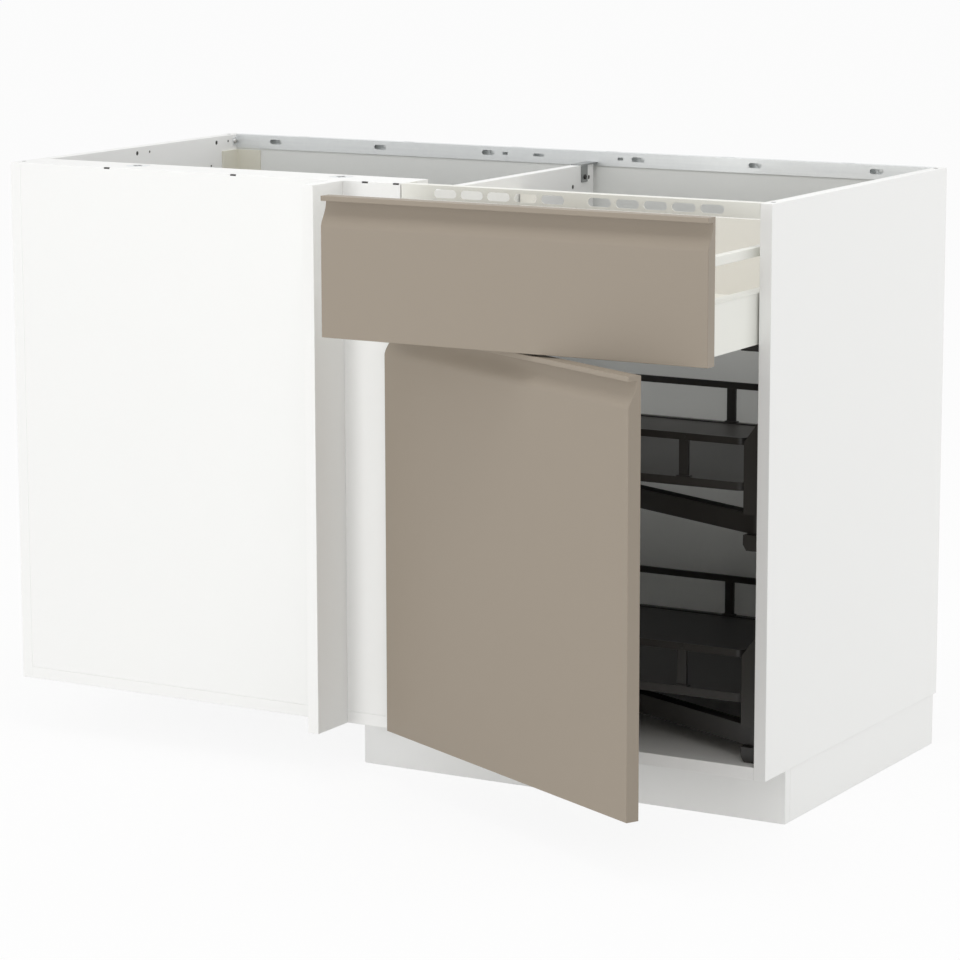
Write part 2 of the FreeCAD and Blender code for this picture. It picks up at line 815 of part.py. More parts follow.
def hinge_cup(level):
    """A hinge cup with its flange and the two ears that hold the pin."""
    cup = cup_bore(level, cup_radius, cup_depth)
    half = cup_flange_height / 2
    flange_x = (front_left + cup_flange_start, front_left + cup_flange_end)
    flange_y = (front_back_y, front_back_y + cup_flange_thickness)
    cup = cup.fuse(box(flange_x, flange_y, (level - half, level + half)))
    bottom = front_back_y - cup_depth + cup_wall
    mouth = cup_depth + cup_flange_thickness
    inside = rod((front_left + cup_inset, bottom, level), cup_radius - cup_wall, mouth, Y_AXIS)
    cup = cup.cut(inside)
    for side in (-1, 1):
        ear_z = sorted((level + side * cup_ear_near, level + side * cup_ear_far))
        ear_x = (hinge_x - cup_ear_left, hinge_x + cup_ear_right)
        ear = box(ear_x, (bottom - cup_wall / 2, hinge_y + cup_ear_height), ear_z)
        cup = cup.fuse(ear)
    hole = rod((hinge_x, hinge_y, level - cup_ear_far), hinge_pin_radius, 2 * cup_ear_far, Z_AXIS)
    return cup.cut(hole).removeSplitter()


def hinge_pin(level):
    """The pin that a hinge turns on."""
    return rod((hinge_x, hinge_y, level - cup_ear_far), hinge_pin_radius, 2 * cup_ear_far, Z_AXIS)


def hinge_arm(level):
    """The goose-neck arm that reaches from its plate into the cup."""
    half = hinge_knuckle_height / 2
    z = (level - half, level + half)
    arm_x = bay_face + hinge_plate_thickness
    knuckle = rod((hinge_x, hinge_y, z[0]), hinge_knuckle_radius, hinge_knuckle_height, Z_AXIS)
    neck_y = (hinge_y - hinge_neck_front, hinge_y + hinge_neck_back)
    neck = box((hinge_x, arm_x + hinge_arm_sheet), neck_y, z)
    reach_z = (level - hinge_arm_height / 2, level + hinge_arm_height / 2)
    reach = box((arm_x, arm_x + hinge_arm_sheet), (neck_y[0], hinge_arm_end), reach_z)
    arm = knuckle.fuse(neck).fuse(reach).removeSplitter()
    return arm.cut(rod((hinge_x, hinge_y, z[0]), hinge_pin_radius + hinge_pin_clearance, 2 * half, Z_AXIS))


def hinge_plate(level):
    """The plate that carries a hinge arm on the hinge post."""
    half = hinge_plate_height / 2
    y = (hinge_plate_start, hinge_arm_end)
    return box((bay_face, bay_face + hinge_plate_thickness), y, (level - half, level + half))


def door_panel():
    """The door board with the pockets of its hinge cups, at its closed place."""
    door = front_board((front_left, front_right), door_bottom, door_top)
    for level in hinge_levels:
        door = door.cut(cup_bore(level, cup_radius, cup_depth))
    return door


def door_bumper(level):
    """A soft stop on the door's back, opposite the right side panel's edge."""
    bumper = rod((front_right - bumper_inset, front_back_y, level), bumper_radius, bumper_height, Y_AXIS)
    return bumper.makeFillet(bumper_height / 3, [bumper.Edges[0]])


def level_base(level):
    """Height of a tray level's lowest point."""
    return inside_floor + level_pitch * level


def tray_bracket(level):
    """The wall bracket of one tray level, forked around the arm's knuckle."""
    base = level_base(level)
    wall = inside_right
    nose = wall - tray_bracket_width
    top = base + tray_bracket_height
    outline = [
        (wall, base),
        (nose + tray_bracket_notch, base),
        (nose, base + tray_bracket_foot),
        (nose, top - tray_bracket_chamfer),
        (wall - tray_bracket_notch, top),
        (wall, top),
    ]
    points = [Vector(x, tray_bracket_setback, z) for x, z in outline]
    bracket = prism(points, Y_AXIS * tray_bracket_depth)
    fork = box(
        (nose, arm_pin_x + arm_width / 2 + arm_clearance),
        (tray_bracket_setback, tray_bracket_setback + tray_bracket_depth),
        (base + arm_rise - arm_clearance, base + arm_rise + arm_height + arm_clearance),
    )
    pin_base = base + arm_rise - arm_pin_reach
    pin_length = arm_height + 2 * arm_pin_reach
    return bracket.cut(fork).cut(rod((arm_pin_x, arm_pin_y, pin_base), arm_pin_radius, pin_length, Z_AXIS))


def arm_pin(level):
    """The pin that a tray's arm swings on."""
    base = level_base(level) + arm_rise - arm_pin_reach
    return rod((arm_pin_x, arm_pin_y, base), arm_pin_radius, arm_height + 2 * arm_pin_reach, Z_AXIS)


def bar(width, height, base):
    """A bar with round ends along the arm, from the wall pin to the tray pin."""
    along = Vector(tray_pin_x - arm_pin_x, tray_pin_y - arm_pin_y, 0)
    across = Z_AXIS.cross(along).normalize() * (width / 2)
    start = Vector(arm_pin_x, arm_pin_y, base)
    points = [start - across, start + along - across, start + along + across, start + across]
    shape = prism(points, Z_AXIS * height)
    for end in (start, start + along):
        shape = shape.fuse(Part.makeCylinder(width / 2, height, end, Z_AXIS))
    return shape.removeSplitter()


def tray_arm(level):
    """The swing arm: a channel, solid at both pins."""
    base = level_base(level) + arm_rise
    hollow = bar(arm_width - 2 * arm_wall, arm_height - arm_wall, base)
    for x, y in ((arm_pin_x, arm_pin_y), (tray_pin_x, tray_pin_y)):
        hollow = hollow.cut(rod((x, y, base), arm_width, arm_height, Z_AXIS))
    arm = bar(arm_width, arm_height, base).cut(hollow)
    arm = arm.cut(rod((arm_pin_x, arm_pin_y, base), arm_pin_radius + arm_pin_clearance, arm_height, Z_AXIS))
    seat = (tray_pin_x, tray_pin_y, base + arm_height - tray_pin_seat)
    return arm.cut(rod(seat, tray_pin_radius, tray_pin_seat, Z_AXIS))


def tray_pin(level):
    """The pin that a tray turns on, with the collar that carries the tray."""
    arm_top = level_base(level) + arm_rise + arm_height
    tray_bottom = level_base(level) + tray_rise
    pin_top = tray_bottom + tray_pin_reach
    seat = (tray_pin_x, tray_pin_y, arm_top - tray_pin_seat)
    pin = rod(seat, tray_pin_radius, pin_top - seat[2], Z_AXIS)
    collar_height = tray_bottom - tray_hub_height - arm_clearance - arm_top
    return pin.fuse(rod((tray_pin_x, tray_pin_y, arm_top), tray_collar_radius, collar_height, Z_AXIS))


def tray_outline(inset, z):
    """The kidney outline of a tray, drawn in from its rim by an inset."""
    left = tray_left + inset
    right = tray_right - inset
    waist = tray_waist_x + inset
    front = tray_front + inset
    lobe = tray_lobe_front + inset
    back = tray_back - inset
    corners = (
        (waist, front, tray_waist_corner - inset),
        (right, front, tray_front_corner - inset),
        (right, back, tray_back_corner - inset),
        (left, back, tray_lobe_corner - inset),
        (left, lobe, tray_lobe_corner - inset),
        (waist, lobe, tray_inner_corner + inset),
    )
    points = [Vector(x, y, z) for x, y, radius in corners]
    edges = []
    joins = []
    for index, (x, y, radius) in enumerate(corners):
        here = points[index]
        toward_last = (points[index - 1] - here).normalize()
        toward_next = (points[(index + 1) % len(points)] - here).normalize()
        start = here + toward_last * radius
        end = here + toward_next * radius
        middle = here + (toward_last + toward_next) * (radius * (1 - math.sqrt(0.5)))
        edges.append(Part.Arc(start, middle, end).toShape())
        joins.append((start, end))
    for index, (start, end) in enumerate(joins):
        edges.append(Part.LineSegment(joins[index - 1][1], start).toShape())
    return Part.Face(Part.Wire(Part.__sortEdges__(edges)))


def tray_floor(level):
    """A tray's floor with a shallow recess and the hub under it."""
    base = level_base(level) + tray_rise
    floor = tray_outline(0.0, base).extrude(Z_AXIS * tray_thickness)
    recess_z = base + tray_thickness - tray_recess
    floor = floor.cut(tray_outline(tray_rim, recess_z).extrude(Z_AXIS * tray_recess))
    hub = (tray_pin_x, tray_pin_y, base - tray_hub_height)
    floor = floor.fuse(rod(hub, tray_hub_radius, tray_hub_height, Z_AXIS))
    bore = tray_pin_radius + arm_pin_clearance
    reach = tray_hub_height + tray_pin_reach + arm_clearance
    return floor.cut(rod(hub, bore, reach, Z_AXIS)).removeSplitter()


def post_places():
    """Post centres on the fence, each with the axis that its edge runs along."""
    inset = fence_inset + fence_thickness / 2
    lobe_middle = (tray_lobe_front + tray_back) / 2
    bay = (tray_front + tray_back) / 2
    places = [(tray_right - post_front_from_right, tray_front + inset, X_AXIS)]
    places.append((tray_waist_x + post_front_from_right, tray_front + inset, X_AXIS))
    first = tray_left + post_back_from_left
    last = tray_right - post_back_from_right
    for x in (first, (first + last) / 2, last):
        places.append((x, tray_back - inset, X_AXIS))
    places.append((tray_right - inset, bay, Y_AXIS))
    places.append((tray_left + inset, lobe_middle, Y_AXIS))
    places.append(((tray_left + tray_waist_x) / 2, tray_lobe_front + inset, X_AXIS))
    return places


def fence_post(level, place):
    """An upright flat post of a tray's fence, with its foot."""
    x, y, along = place
    base = level_base(level) + tray_rise + tray_thickness
    across = Z_AXIS.cross(along)

    def upright(width, depth, height):
        corner = Vector(x, y, base) - along * (width / 2) - across * (depth / 2)
        end = corner + along * width
        points = [corner, end, end + across * depth, corner + across * depth]
        return prism(points, Z_AXIS * height)

    post = upright(post_width, post_thickness, fence_rise)
    return post.fuse(upright(post_foot_width, post_foot_depth, post_foot_height)).removeSplitter()


def tray_fence(level):
    """The flat bar that runs round a tray on its posts."""
    base = level_base(level) + tray_rise + tray_thickness + fence_rise
    outer = tray_outline(fence_inset, base).extrude(Z_AXIS * fence_height)
    return outer.cut(tray_outline(fence_inset + fence_thickness, base).extrude(Z_AXIS * fence_height))


def carcass_nodes():
    """The fixed boards, rails and fittings of the carcass."""
    front_legs, back_legs = leg_rows()
    legs = front_legs + back_legs
    clips = [plinth_clip(x, y) for x, y in front_legs]
    return {
        "left_side_panel": side_panel(True),
        "right_side_panel": side_panel(False),
        "bottom_panel": bottom_panel(),
        "back_panel": back_panel(),
        "back_rail": back_rail(),
        "blind_front_panel": blind_front_panel(),
        "filler_panel": filler_panel(),
        "front_stretcher": front_stretcher(),
        "cover_caps": group([cover_cap(x, y) for x, y in cap_places()]),
        "panel_clips": group([panel_clip(left, 0.0, flush_drop) for left in clip_places()]),
        "panel_plugs": group([plug(place, 0.0, flush_drop) for place in plug_places()]),
        "vent_rail": vent_rail(),
        "rail_screws": group([screw(seat, into) for seat, into in rail_screws]),
        "drawer_partition": drawer_partition(),
        "partition_bracket": partition_bracket(),
        "bracket_screw": group([screw(seat, into) for seat, into in bracket_screws]),
        "hinge_post": hinge_post(),
        "hinge_plates": group([hinge_plate(level) for level in hinge_levels]),
        "hinge_arms": group([hinge_arm(level) for level in hinge_levels]),
        "corner_cleat": corner_cleat(),
        "plinth_front": plinth_front(),
        "plinth_side": plinth_side(),
        "plinth_clips": group(clips + [plinth_corner_clip()]),
        "leg_plates": group([leg_plate(x, y) for x, y in legs]),
        "leg_tubes": group([leg_tube(x, y) for x, y in legs]),
        "leg_feet": group([leg_foot(x, y) for x, y in legs]),
        "runner_cabinet_right": runner_rail(),
        "runner_cabinet_left": mirrored(runner_rail()),
        "runner_stops": group([runner_stop(), mirrored(runner_stop())]),
    }


def drawer_nodes():
    """The drawer with its runners, at its resting place."""
    front = front_board((front_left, front_right), drawer_front_bottom, drawer_front_top)
    return {
        "runner_middle_right": drawn_out(runner_member(1), 0.5),
        "runner_middle_left": drawn_out(mirrored(runner_member(1)), 0.5),
        "runner_drawer_right": drawn_out(runner_member(2)),
        "runner_drawer_left": drawn_out(mirrored(runner_member(2))),
        "drawer_front": drawn_out(front),
        "drawer_side_right": drawn_out(drawer_side()),
        "drawer_side_left": drawn_out(mirrored(drawer_side())),
        "drawer_floor": drawn_out(drawer_floor()),
        "drawer_back": drawn_out(drawer_back()),
        "gallery_rail_right": drawn_out(gallery_rail()),
        "gallery_rail_left": drawn_out(mirrored(gallery_rail())),
        "front_brackets": group([drawn_out(front_bracket()), drawn_out(mirrored(front_bracket()))]),
    }


def door_nodes():
    """The door with its hinge cups, at its resting place."""
    bumper_levels = (door_bottom + bumper_margin, door_top - bumper_margin)
    return {
        "door_panel": swung_open(door_panel()),
        "hinge_cups": group([swung_open(hinge_cup(level)) for level in hinge_levels]),
        "hinge_pins": group([swung_open(hinge_pin(level)) for level in hinge_levels]),
        "door_bumpers": group([swung_open(door_bumper(level)) for level in bumper_levels]),
    }


def tray_nodes():
    """The two tray levels with their brackets and swing arms."""
    nodes = {}
    for level, name in enumerate(tray_levels):
        nodes[name + "_tray_bracket"] = tray_bracket(level)
        nodes[name + "_arm_pin"] = arm_pin(level)
        nodes[name + "_arm"] = tray_arm(level)
        nodes[name + "_tray_pin"] = tray_pin(level)
        nodes[name + "_tray_floor"] = tray_floor(level)
        nodes[name + "_tray_posts"] = group([fence_post(level, place) for place in post_places()])
        nodes[name + "_tray_fence"] = tray_fence(level)
    return nodes


os.makedirs("parts", exist_ok=True)
for maker in (carcass_nodes, drawer_nodes, door_nodes, tray_nodes):
    for node, shape in maker().items():
        shape.translated(origin * -1).exportStep("parts/" + node + ".step")
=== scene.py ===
"""Looks of a corner base cabinet: its finishes, its small fittings and a plain studio around it."""

import json
import logging
import math
from collections.abc import Sequence
from dataclasses import dataclass
from enum import Enum

import bmesh
import bpy
from mathutils import Matrix, Vector

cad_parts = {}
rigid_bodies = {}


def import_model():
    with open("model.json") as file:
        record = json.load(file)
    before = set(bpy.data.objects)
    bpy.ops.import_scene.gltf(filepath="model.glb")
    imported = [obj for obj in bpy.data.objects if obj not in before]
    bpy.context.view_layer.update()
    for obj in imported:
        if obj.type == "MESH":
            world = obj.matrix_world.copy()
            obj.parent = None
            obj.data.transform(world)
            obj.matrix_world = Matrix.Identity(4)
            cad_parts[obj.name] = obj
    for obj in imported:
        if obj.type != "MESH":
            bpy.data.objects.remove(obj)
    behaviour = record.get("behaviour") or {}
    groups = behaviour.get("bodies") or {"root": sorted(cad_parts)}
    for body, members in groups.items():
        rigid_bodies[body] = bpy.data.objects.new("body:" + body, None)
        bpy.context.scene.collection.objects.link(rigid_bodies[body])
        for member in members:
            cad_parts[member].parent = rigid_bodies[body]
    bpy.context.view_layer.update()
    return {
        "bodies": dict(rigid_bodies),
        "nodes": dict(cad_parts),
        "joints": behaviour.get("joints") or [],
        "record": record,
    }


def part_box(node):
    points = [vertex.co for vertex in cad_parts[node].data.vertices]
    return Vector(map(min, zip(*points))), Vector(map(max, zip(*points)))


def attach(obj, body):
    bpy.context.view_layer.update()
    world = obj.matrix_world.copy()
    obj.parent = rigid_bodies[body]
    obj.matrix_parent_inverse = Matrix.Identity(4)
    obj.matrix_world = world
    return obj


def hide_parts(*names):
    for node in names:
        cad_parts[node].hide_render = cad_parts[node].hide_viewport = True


log = logging.getLogger("corner_cabinet")

Colour = tuple[float, float, float]
Place = tuple[float, float, float]
MM = 0.001
WELD = 0.01 * MM
SORT_DIGITS = 6
RIGHT, LEFT = Vector((1, 0, 0)), Vector((-1, 0, 0))
BACK, FRONT = Vector((0, 1, 0)), Vector((0, -1, 0))
UP, DOWN = Vector((0, 0, 1)), Vector((0, 0, -1))
ROUND_STEPS = 32
BEVEL_STEPS = 2
SHARP_ANGLE = math.radians(30)
SMOOTH_ANGLE = math.radians(35)
WHITE = (1.0, 1.0, 1.0, 1.0)
# Tone of the dust and painted top light that lighten the faces looking up.
DUST_AND_TOP_LIGHT_TONE = (0.30, 0.29, 0.27, 1.0)
RELIEF_DEPTH = 0.4 * MM
NOISE_MEAN = 0.5


def mm(*sizes: float) -> tuple[float, ...]:
    """Turns millimetres into metres."""
    return tuple(size * MM for size in sizes)


class Slot(Enum):
    """Finishes of the cabinet, named as the record's material slots."""

    WHITE_BOARD = "white_board"
    BACK_BOARD = "back_board"
    ZINC_STEEL = "zinc_steel"
    WHITE_STEEL = "white_steel"
    DRAWER_BOARD = "drawer_board"
    FRONT_LACQUER = "front_lacquer"
    RUNNER_STEEL = "runner_steel"
    BRIGHT_STEEL = "bright_steel"
    DARK_STEEL = "dark_steel"
    DARK_PLASTIC = "dark_plastic"
    CLEAT_PLASTIC = "cleat_plastic"
    TRAY_BOARD = "tray_board"
    CLEAR_BUMPER = "clear_bumper"


class Body(Enum):
    """Rigid bodies that the fittings ride on."""

    CABINET = "cabinet"
    DRAWER = "drawer"
    DOOR = "door"
    LOWER_TRAY = "lower_tray"
    UPPER_TRAY = "upper_tray"


@dataclass(frozen=True)
class Box:
    """The lowest and the highest corner of a solid."""

    low: Vector
    high: Vector

    @property
    def middle(self) -> Vector:
        """The middle of the box."""
        return (self.low + self.high) / 2

    def face(self, out: Vector) -> Vector:
        """Gives the middle of the face that looks along an axis.

        Args:
            out: The direction that the face looks in.

        Returns:
            The face's middle.
        """
        return self.middle + (self.high - self.low) / 2 * out


@dataclass(frozen=True)
class ScrewHead:
    """A pan head with a cross recess: its size, and the shares of it that shape the dome and the cross."""

    radius: float
    height: float
    cells: int = 5
    rim: float = 0.55
    cross_reach: float = 0.6
    cross_slack: float = 0.01
    recess: float = 0.6

    def in_cross(self, spot: Vector) -> bool:
        """Tells whether a spot of the flat square that becomes the head lies in its cross.

        Args:
            spot: The spot, from -1 to 1 across and along.

        Returns:
            Whether it lies in the cross.
        """
        on_axis = abs(spot.x * spot.y) < self.cross_slack
        return on_axis and max(abs(spot.x), abs(spot.y)) < self.cross_reach

    def on_dome(self, spot: Vector) -> Vector:
        """Gives the place on the domed head of a spot of the flat square that becomes it.

        Args:
            spot: The spot, from -1 to 1 across and along.

        Returns:
            The place, above the face that the head rests on.
        """
        x = spot.x * math.sqrt(1 - spot.y**2 / 2)
        y = spot.y * math.sqrt(1 - spot.x**2 / 2)
        rise = self.rim + (1 - self.rim) * math.sqrt(max(0.0, 1 - x**2 - y**2))
        return Vector((x * self.radius, y * self.radius, rise * self.height))


@dataclass(frozen=True)
class Button:
    """A round button with a soft edge."""

    radius: float
    height: float
    soft: float


@dataclass(frozen=True)
class FixingHole:
    """A hole in a board's face, measured from the board's front and top edges."""

    behind: float
    below: float
    radius: float


class FrameReader:
    """Reads from the frame where its solids are, so that each fitting sits on what carries it."""

    def __init__(self, frame: dict) -> None:
        """Keeps the frame's nodes and joints."""
        self.nodes = frame["nodes"]
        self.joints = {joint["name"]: joint for joint in frame["joints"]}

    def joint(self, name: str) -> dict:
        """Gives a joint's row."""
        return self.joints[name]

    def whole(self, node: str) -> Box:
        """Gives the box round all of a node."""
        return Box(*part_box(node))

    def each(self, node: str) -> list[Box]:
        """Gives a box round each separate solid of a node.

        Args:
            node: The node's name.

        Returns:
            The boxes, from left to right, then from front to back, then upwards.
        """
        mesh = bmesh.new()
        mesh.from_mesh(self.nodes[node].data)
        bmesh.ops.remove_doubles(mesh, verts=mesh.verts, dist=WELD)
        left = set(mesh.verts)
        boxes = []
        while left:
            axes = list(zip(*self.one_solid(left)))
            low = Vector([min(axis) for axis in axes])
            high = Vector([max(axis) for axis in axes])
            boxes.append(Box(low, high))
        mesh.free()
        return sorted(boxes, key=lambda box: box.low.to_tuple(SORT_DIGITS))

    @staticmethod
    def one_solid(left: set[bmesh.types.BMVert]) -> list[Vector]:
        """Takes the corners of one solid out of a set.

        Args:
            left: The corners that are left, some of which go.

        Returns:
            The places of the corners taken.
        """
        waiting = [left.pop()]
        places = []
        while waiting:
            corner = waiting.pop()
            places.append(corner.co.copy())
            nearby = {edge.other_vert(corner) for edge in corner.link_edges} & left
            left.difference_update(nearby)
            waiting.extend(nearby)
        return places


class NodeSheet:
    """A shader node tree with short calls to add and join nodes."""

    def __init__(self, tree: bpy.types.NodeTree) -> None:
        """Takes over a tree and empties it."""
        self.tree = tree
        self.tree.nodes.clear()

    def add(self, kind: str, **settings: object) -> bpy.types.Node:
        """Adds a node.

        Args:
            kind: The node's type, without its common prefix.
            settings: Attributes to set on it.

        Returns:
            The new node.
        """
        node = self.tree.nodes.new("ShaderNode" + kind)
        for name, value in settings.items():
            setattr(node, name, value)
        return node

    def join(self, source: bpy.types.NodeSocket, target: bpy.types.NodeSocket) -> None:
        """Links an output to an input."""
        self.tree.links.new(source, target)

    def calculate(
        self, operation: str, first: bpy.types.NodeSocket, second: bpy.types.NodeSocket | float
    ) -> bpy.types.NodeSocket:
        """Adds a sum on two values.

        Args:
            operation: The name of the sum.
            first: The first value's socket.
            second: The second value, or its socket.

        Returns:
            The socket that gives the result.
        """
        node = self.add("Math", operation=operation)
        self.join(first, node.inputs[0])
        if isinstance(second, float):
            node.inputs[1].default_value = second
        else:
            self.join(second, node.inputs[1])
        return node.outputs[0]

    def blend(
        self, share: bpy.types.NodeSocket, first: bpy.types.NodeSocket, second: bpy.types.NodeSocket
    ) -> bpy.types.NodeSocket:
        """Mixes two colours.

        Args:
            share: How much of the second colour there is, from 0 to 1.
            first: The first colour's socket.
            second: The second colour's socket.

        Returns:
            The socket that gives the mixed colour.
        """
        node = self.add("Mix", data_type="RGBA")
        self.join(share, node.inputs["Factor"])
        self.join(first, node.inputs["A"])
        self.join(second, node.inputs["B"])
        return node.outputs["Result"]

    def in_sight(self) -> bpy.types.NodeSocket:
        """Tells the rays that the camera sees straight, mirrored or through something clear.

        Returns:
            A socket that gives 1 for those rays, and else 0.
        """
        rays = self.add("LightPath")
        seen = self.calculate("MAXIMUM", rays.outputs["Is Camera Ray"], rays.outputs["Is Glossy Ray"])
        return self.calculate("MAXIMUM", seen, rays.outputs["Is Transmission Ray"])


@dataclass
class GroupMaker:
    """Builds the shader groups that several finishes share."""

    grain_detail: float = 3.0
    drift_scale: float = 2.4
    drift_detail: float = 2.0
    streak_detail: float = 4.0
    flower_scale: float = 110.0
    cloud_scale: float = 18.0
    # Where the dust and painted top light start and reach full on faces that look up, and the size of its
    # patches.
    dust_and_light_start: float = 0.55
    dust_and_light_full: float = 0.95
    dust_and_light_scale: float = 9.0
    dust_and_light_detail: float = 6.0

    def __post_init__(self) -> None:
        """Makes every group once."""
        self.grain = self.board_grain()
        self.sheet = self.rolled_sheet()
        self.skin = self.moulded_skin()
        self.dust_and_top_light = self.dust_and_painted_top_light()

    @staticmethod
    def start(
        name: str, inputs: Sequence[tuple[str, str]], outputs: Sequence[tuple[str, str]]
    ) -> tuple[bpy.types.NodeTree, NodeSheet, bpy.types.Node, bpy.types.Node]:
        """Starts a group with its sockets.

        Args:
            name: The group's name.
            inputs: Name and kind of each input.
            outputs: Name and kind of each output.

        Returns:
            The group, its sheet, and its input and output nodes.
        """
        group = bpy.data.node_groups.new(name, "ShaderNodeTree")
        for direction, sockets in (("INPUT", inputs), ("OUTPUT", outputs)):
            for label, kind in sockets:
                group.interface.new_socket(label, in_out=direction, socket_type="NodeSocket" + kind)
        sheet = NodeSheet(group)
        given = group.nodes.new("NodeGroupInput")
        result = group.nodes.new("NodeGroupOutput")
        return group, sheet, given, result

    @staticmethod
    def vary_roughness(
        sheet: NodeSheet, given: bpy.types.Node, result: bpy.types.Node, source: bpy.types.NodeSocket
    ) -> None:
        """Lets a group's roughness drift about its given value.

        Args:
            sheet: The group's sheet.
            given: The group's input node.
            result: The group's output node.
            source: The value, from 0 to 1, that the roughness drifts with.
        """
        drift = sheet.calculate("SUBTRACT", source, NOISE_MEAN)
        drift = sheet.calculate("MULTIPLY", drift, given.outputs["Spread"])
        sheet.join(sheet.calculate("ADD", drift, given.outputs["Roughness"]), result.inputs["Roughness"])

    def board_grain(self) -> bpy.types.NodeTree:
        """Makes the fine grain and slow drift of tone of a coated board.

        Returns:
            The group.
        """
        group, sheet, given, result = self.start(
            "board_grain",
            (("Base", "Color"), ("Tint", "Color"), ("Scale", "Float"), ("Mottle", "Float"),
             ("Roughness", "Float"), ("Spread", "Float")),
            (("Color", "Color"), ("Roughness", "Float"), ("Height", "Float")),
        )
        coords = sheet.add("TexCoord")
        fine = sheet.add("TexNoise")
        fine.inputs["Detail"].default_value = self.grain_detail
        broad = sheet.add("TexNoise")
        broad.inputs["Scale"].default_value = self.drift_scale
        broad.inputs["Detail"].default_value = self.drift_detail
        sheet.join(given.outputs["Scale"], fine.inputs["Scale"])
        for noise in (fine, broad):
            sheet.join(coords.outputs["Object"], noise.inputs["Vector"])
        both = sheet.calculate("ADD", fine.outputs["Fac"], broad.outputs["Fac"])
        centred = sheet.calculate("SUBTRACT", both, 2 * NOISE_MEAN)
        swing = sheet.calculate("MULTIPLY", centred, given.outputs["Mottle"])
        share = sheet.calculate("ADD", swing, NOISE_MEAN)
        sheet.join(sheet.blend(share, given.outputs["Base"], given.outputs["Tint"]), result.inputs["Color"])
        self.vary_roughness(sheet, given, result, broad.outputs["Fac"])
        sheet.join(fine.outputs["Fac"], result.inputs["Height"])
        return group

    def rolled_sheet(self) -> bpy.types.NodeTree:
        """Makes the rolling streaks and zinc flowers of sheet steel.

        Returns:
            The group.
        """
        group, sheet, given, result = self.start(
            "rolled_sheet",
            (("Base", "Color"), ("Tint", "Color"), ("Stretch", "Vector"), ("Flowers", "Float"),
             ("Roughness", "Float"), ("Spread", "Float")),
            (("Color", "Color"), ("Roughness", "Float"), ("Height", "Float")),
        )
        coords = sheet.add("TexCoord")
        along = sheet.add("Mapping")
        sheet.join(coords.outputs["Object"], along.inputs["Vector"])
        sheet.join(given.outputs["Stretch"], along.inputs["Scale"])
        streak = sheet.add("TexNoise")
        streak.inputs["Scale"].default_value = 1.0
        streak.inputs["Detail"].default_value = self.streak_detail
        sheet.join(along.outputs["Vector"], streak.inputs["Vector"])
        flower = sheet.add("TexVoronoi")
        flower.inputs["Scale"].default_value = self.flower_scale
        sheet.join(coords.outputs["Object"], flower.inputs["Vector"])
        tone = sheet.add("SeparateColor")
        sheet.join(flower.outputs["Color"], tone.inputs["Color"])
        petal = sheet.calculate("SUBTRACT", tone.outputs["Red"], NOISE_MEAN)
        petal = sheet.calculate("MULTIPLY", petal, given.outputs["Flowers"])
        share = sheet.calculate("ADD", streak.outputs["Fac"], petal)
        sheet.join(sheet.blend(share, given.outputs["Base"], given.outputs["Tint"]), result.inputs["Color"])
        self.vary_roughness(sheet, given, result, share)
        sheet.join(streak.outputs["Fac"], result.inputs["Height"])
        return group

    def moulded_skin(self) -> bpy.types.NodeTree:
        """Makes the fine pebbled skin of a moulded or powder-coated piece.

        Returns:
            The group.
        """
        group, sheet, given, result = self.start(
            "moulded_skin",
            (("Base", "Color"), ("Tint", "Color"), ("Scale", "Float"), ("Roughness", "Float"),
             ("Spread", "Float")),
            (("Color", "Color"), ("Roughness", "Float"), ("Height", "Float")),
        )
        coords = sheet.add("TexCoord")
        pebble = sheet.add("TexVoronoi", feature="SMOOTH_F1")
        sheet.join(given.outputs["Scale"], pebble.inputs["Scale"])
        cloud = sheet.add("TexNoise")
        cloud.inputs["Scale"].default_value = self.cloud_scale
        for texture in (pebble, cloud):
            sheet.join(coords.outputs["Object"], texture.inputs["Vector"])
        tone = sheet.blend(cloud.outputs["Fac"], given.outputs["Base"], given.outputs["Tint"])
        sheet.join(tone, result.inputs["Color"])
        self.vary_roughness(sheet, given, result, cloud.outputs["Fac"])
        sheet.join(pebble.outputs["Distance"], result.inputs["Height"])
        return group

    def dust_and_painted_top_light(self) -> bpy.types.NodeTree:
        """Makes the uneven lightening of the faces that look up: partly dust, and partly painted light that
        makes the top faces lighter as if lit from above.

        Returns:
            The group.
        """
        group, sheet, given, result = self.start(
            "dust_and_painted_top_light",
            (("Color", "Color"), ("Dust and top light", "Color"), ("Amount", "Float")),
            (("Color", "Color"),),
        )
        facing = sheet.add("NewGeometry")
        parts = sheet.add("SeparateXYZ")
        sheet.join(facing.outputs["Normal"], parts.inputs["Vector"])
        level = sheet.add("MapRange", interpolation_type="SMOOTHSTEP")
        level.inputs["From Min"].default_value = self.dust_and_light_start
        level.inputs["From Max"].default_value = self.dust_and_light_full
        sheet.join(parts.outputs["Z"], level.inputs["Value"])
        coords = sheet.add("TexCoord")
        cloud = sheet.add("TexNoise")
        cloud.inputs["Scale"].default_value = self.dust_and_light_scale
        cloud.inputs["Detail"].default_value = self.dust_and_light_detail
        sheet.join(coords.outputs["Object"], cloud.inputs["Vector"])
        dusty_top_light = sheet.calculate("MULTIPLY", level.outputs["Result"], cloud.outputs["Fac"])
        dusty_top_light = sheet.calculate("MULTIPLY", dusty_top_light, given.outputs["Amount"])
        sheet.join(sheet.blend(dusty_top_light, given.outputs["Color"], given.outputs["Dust and top light"]), result.inputs["Color"])
        return group


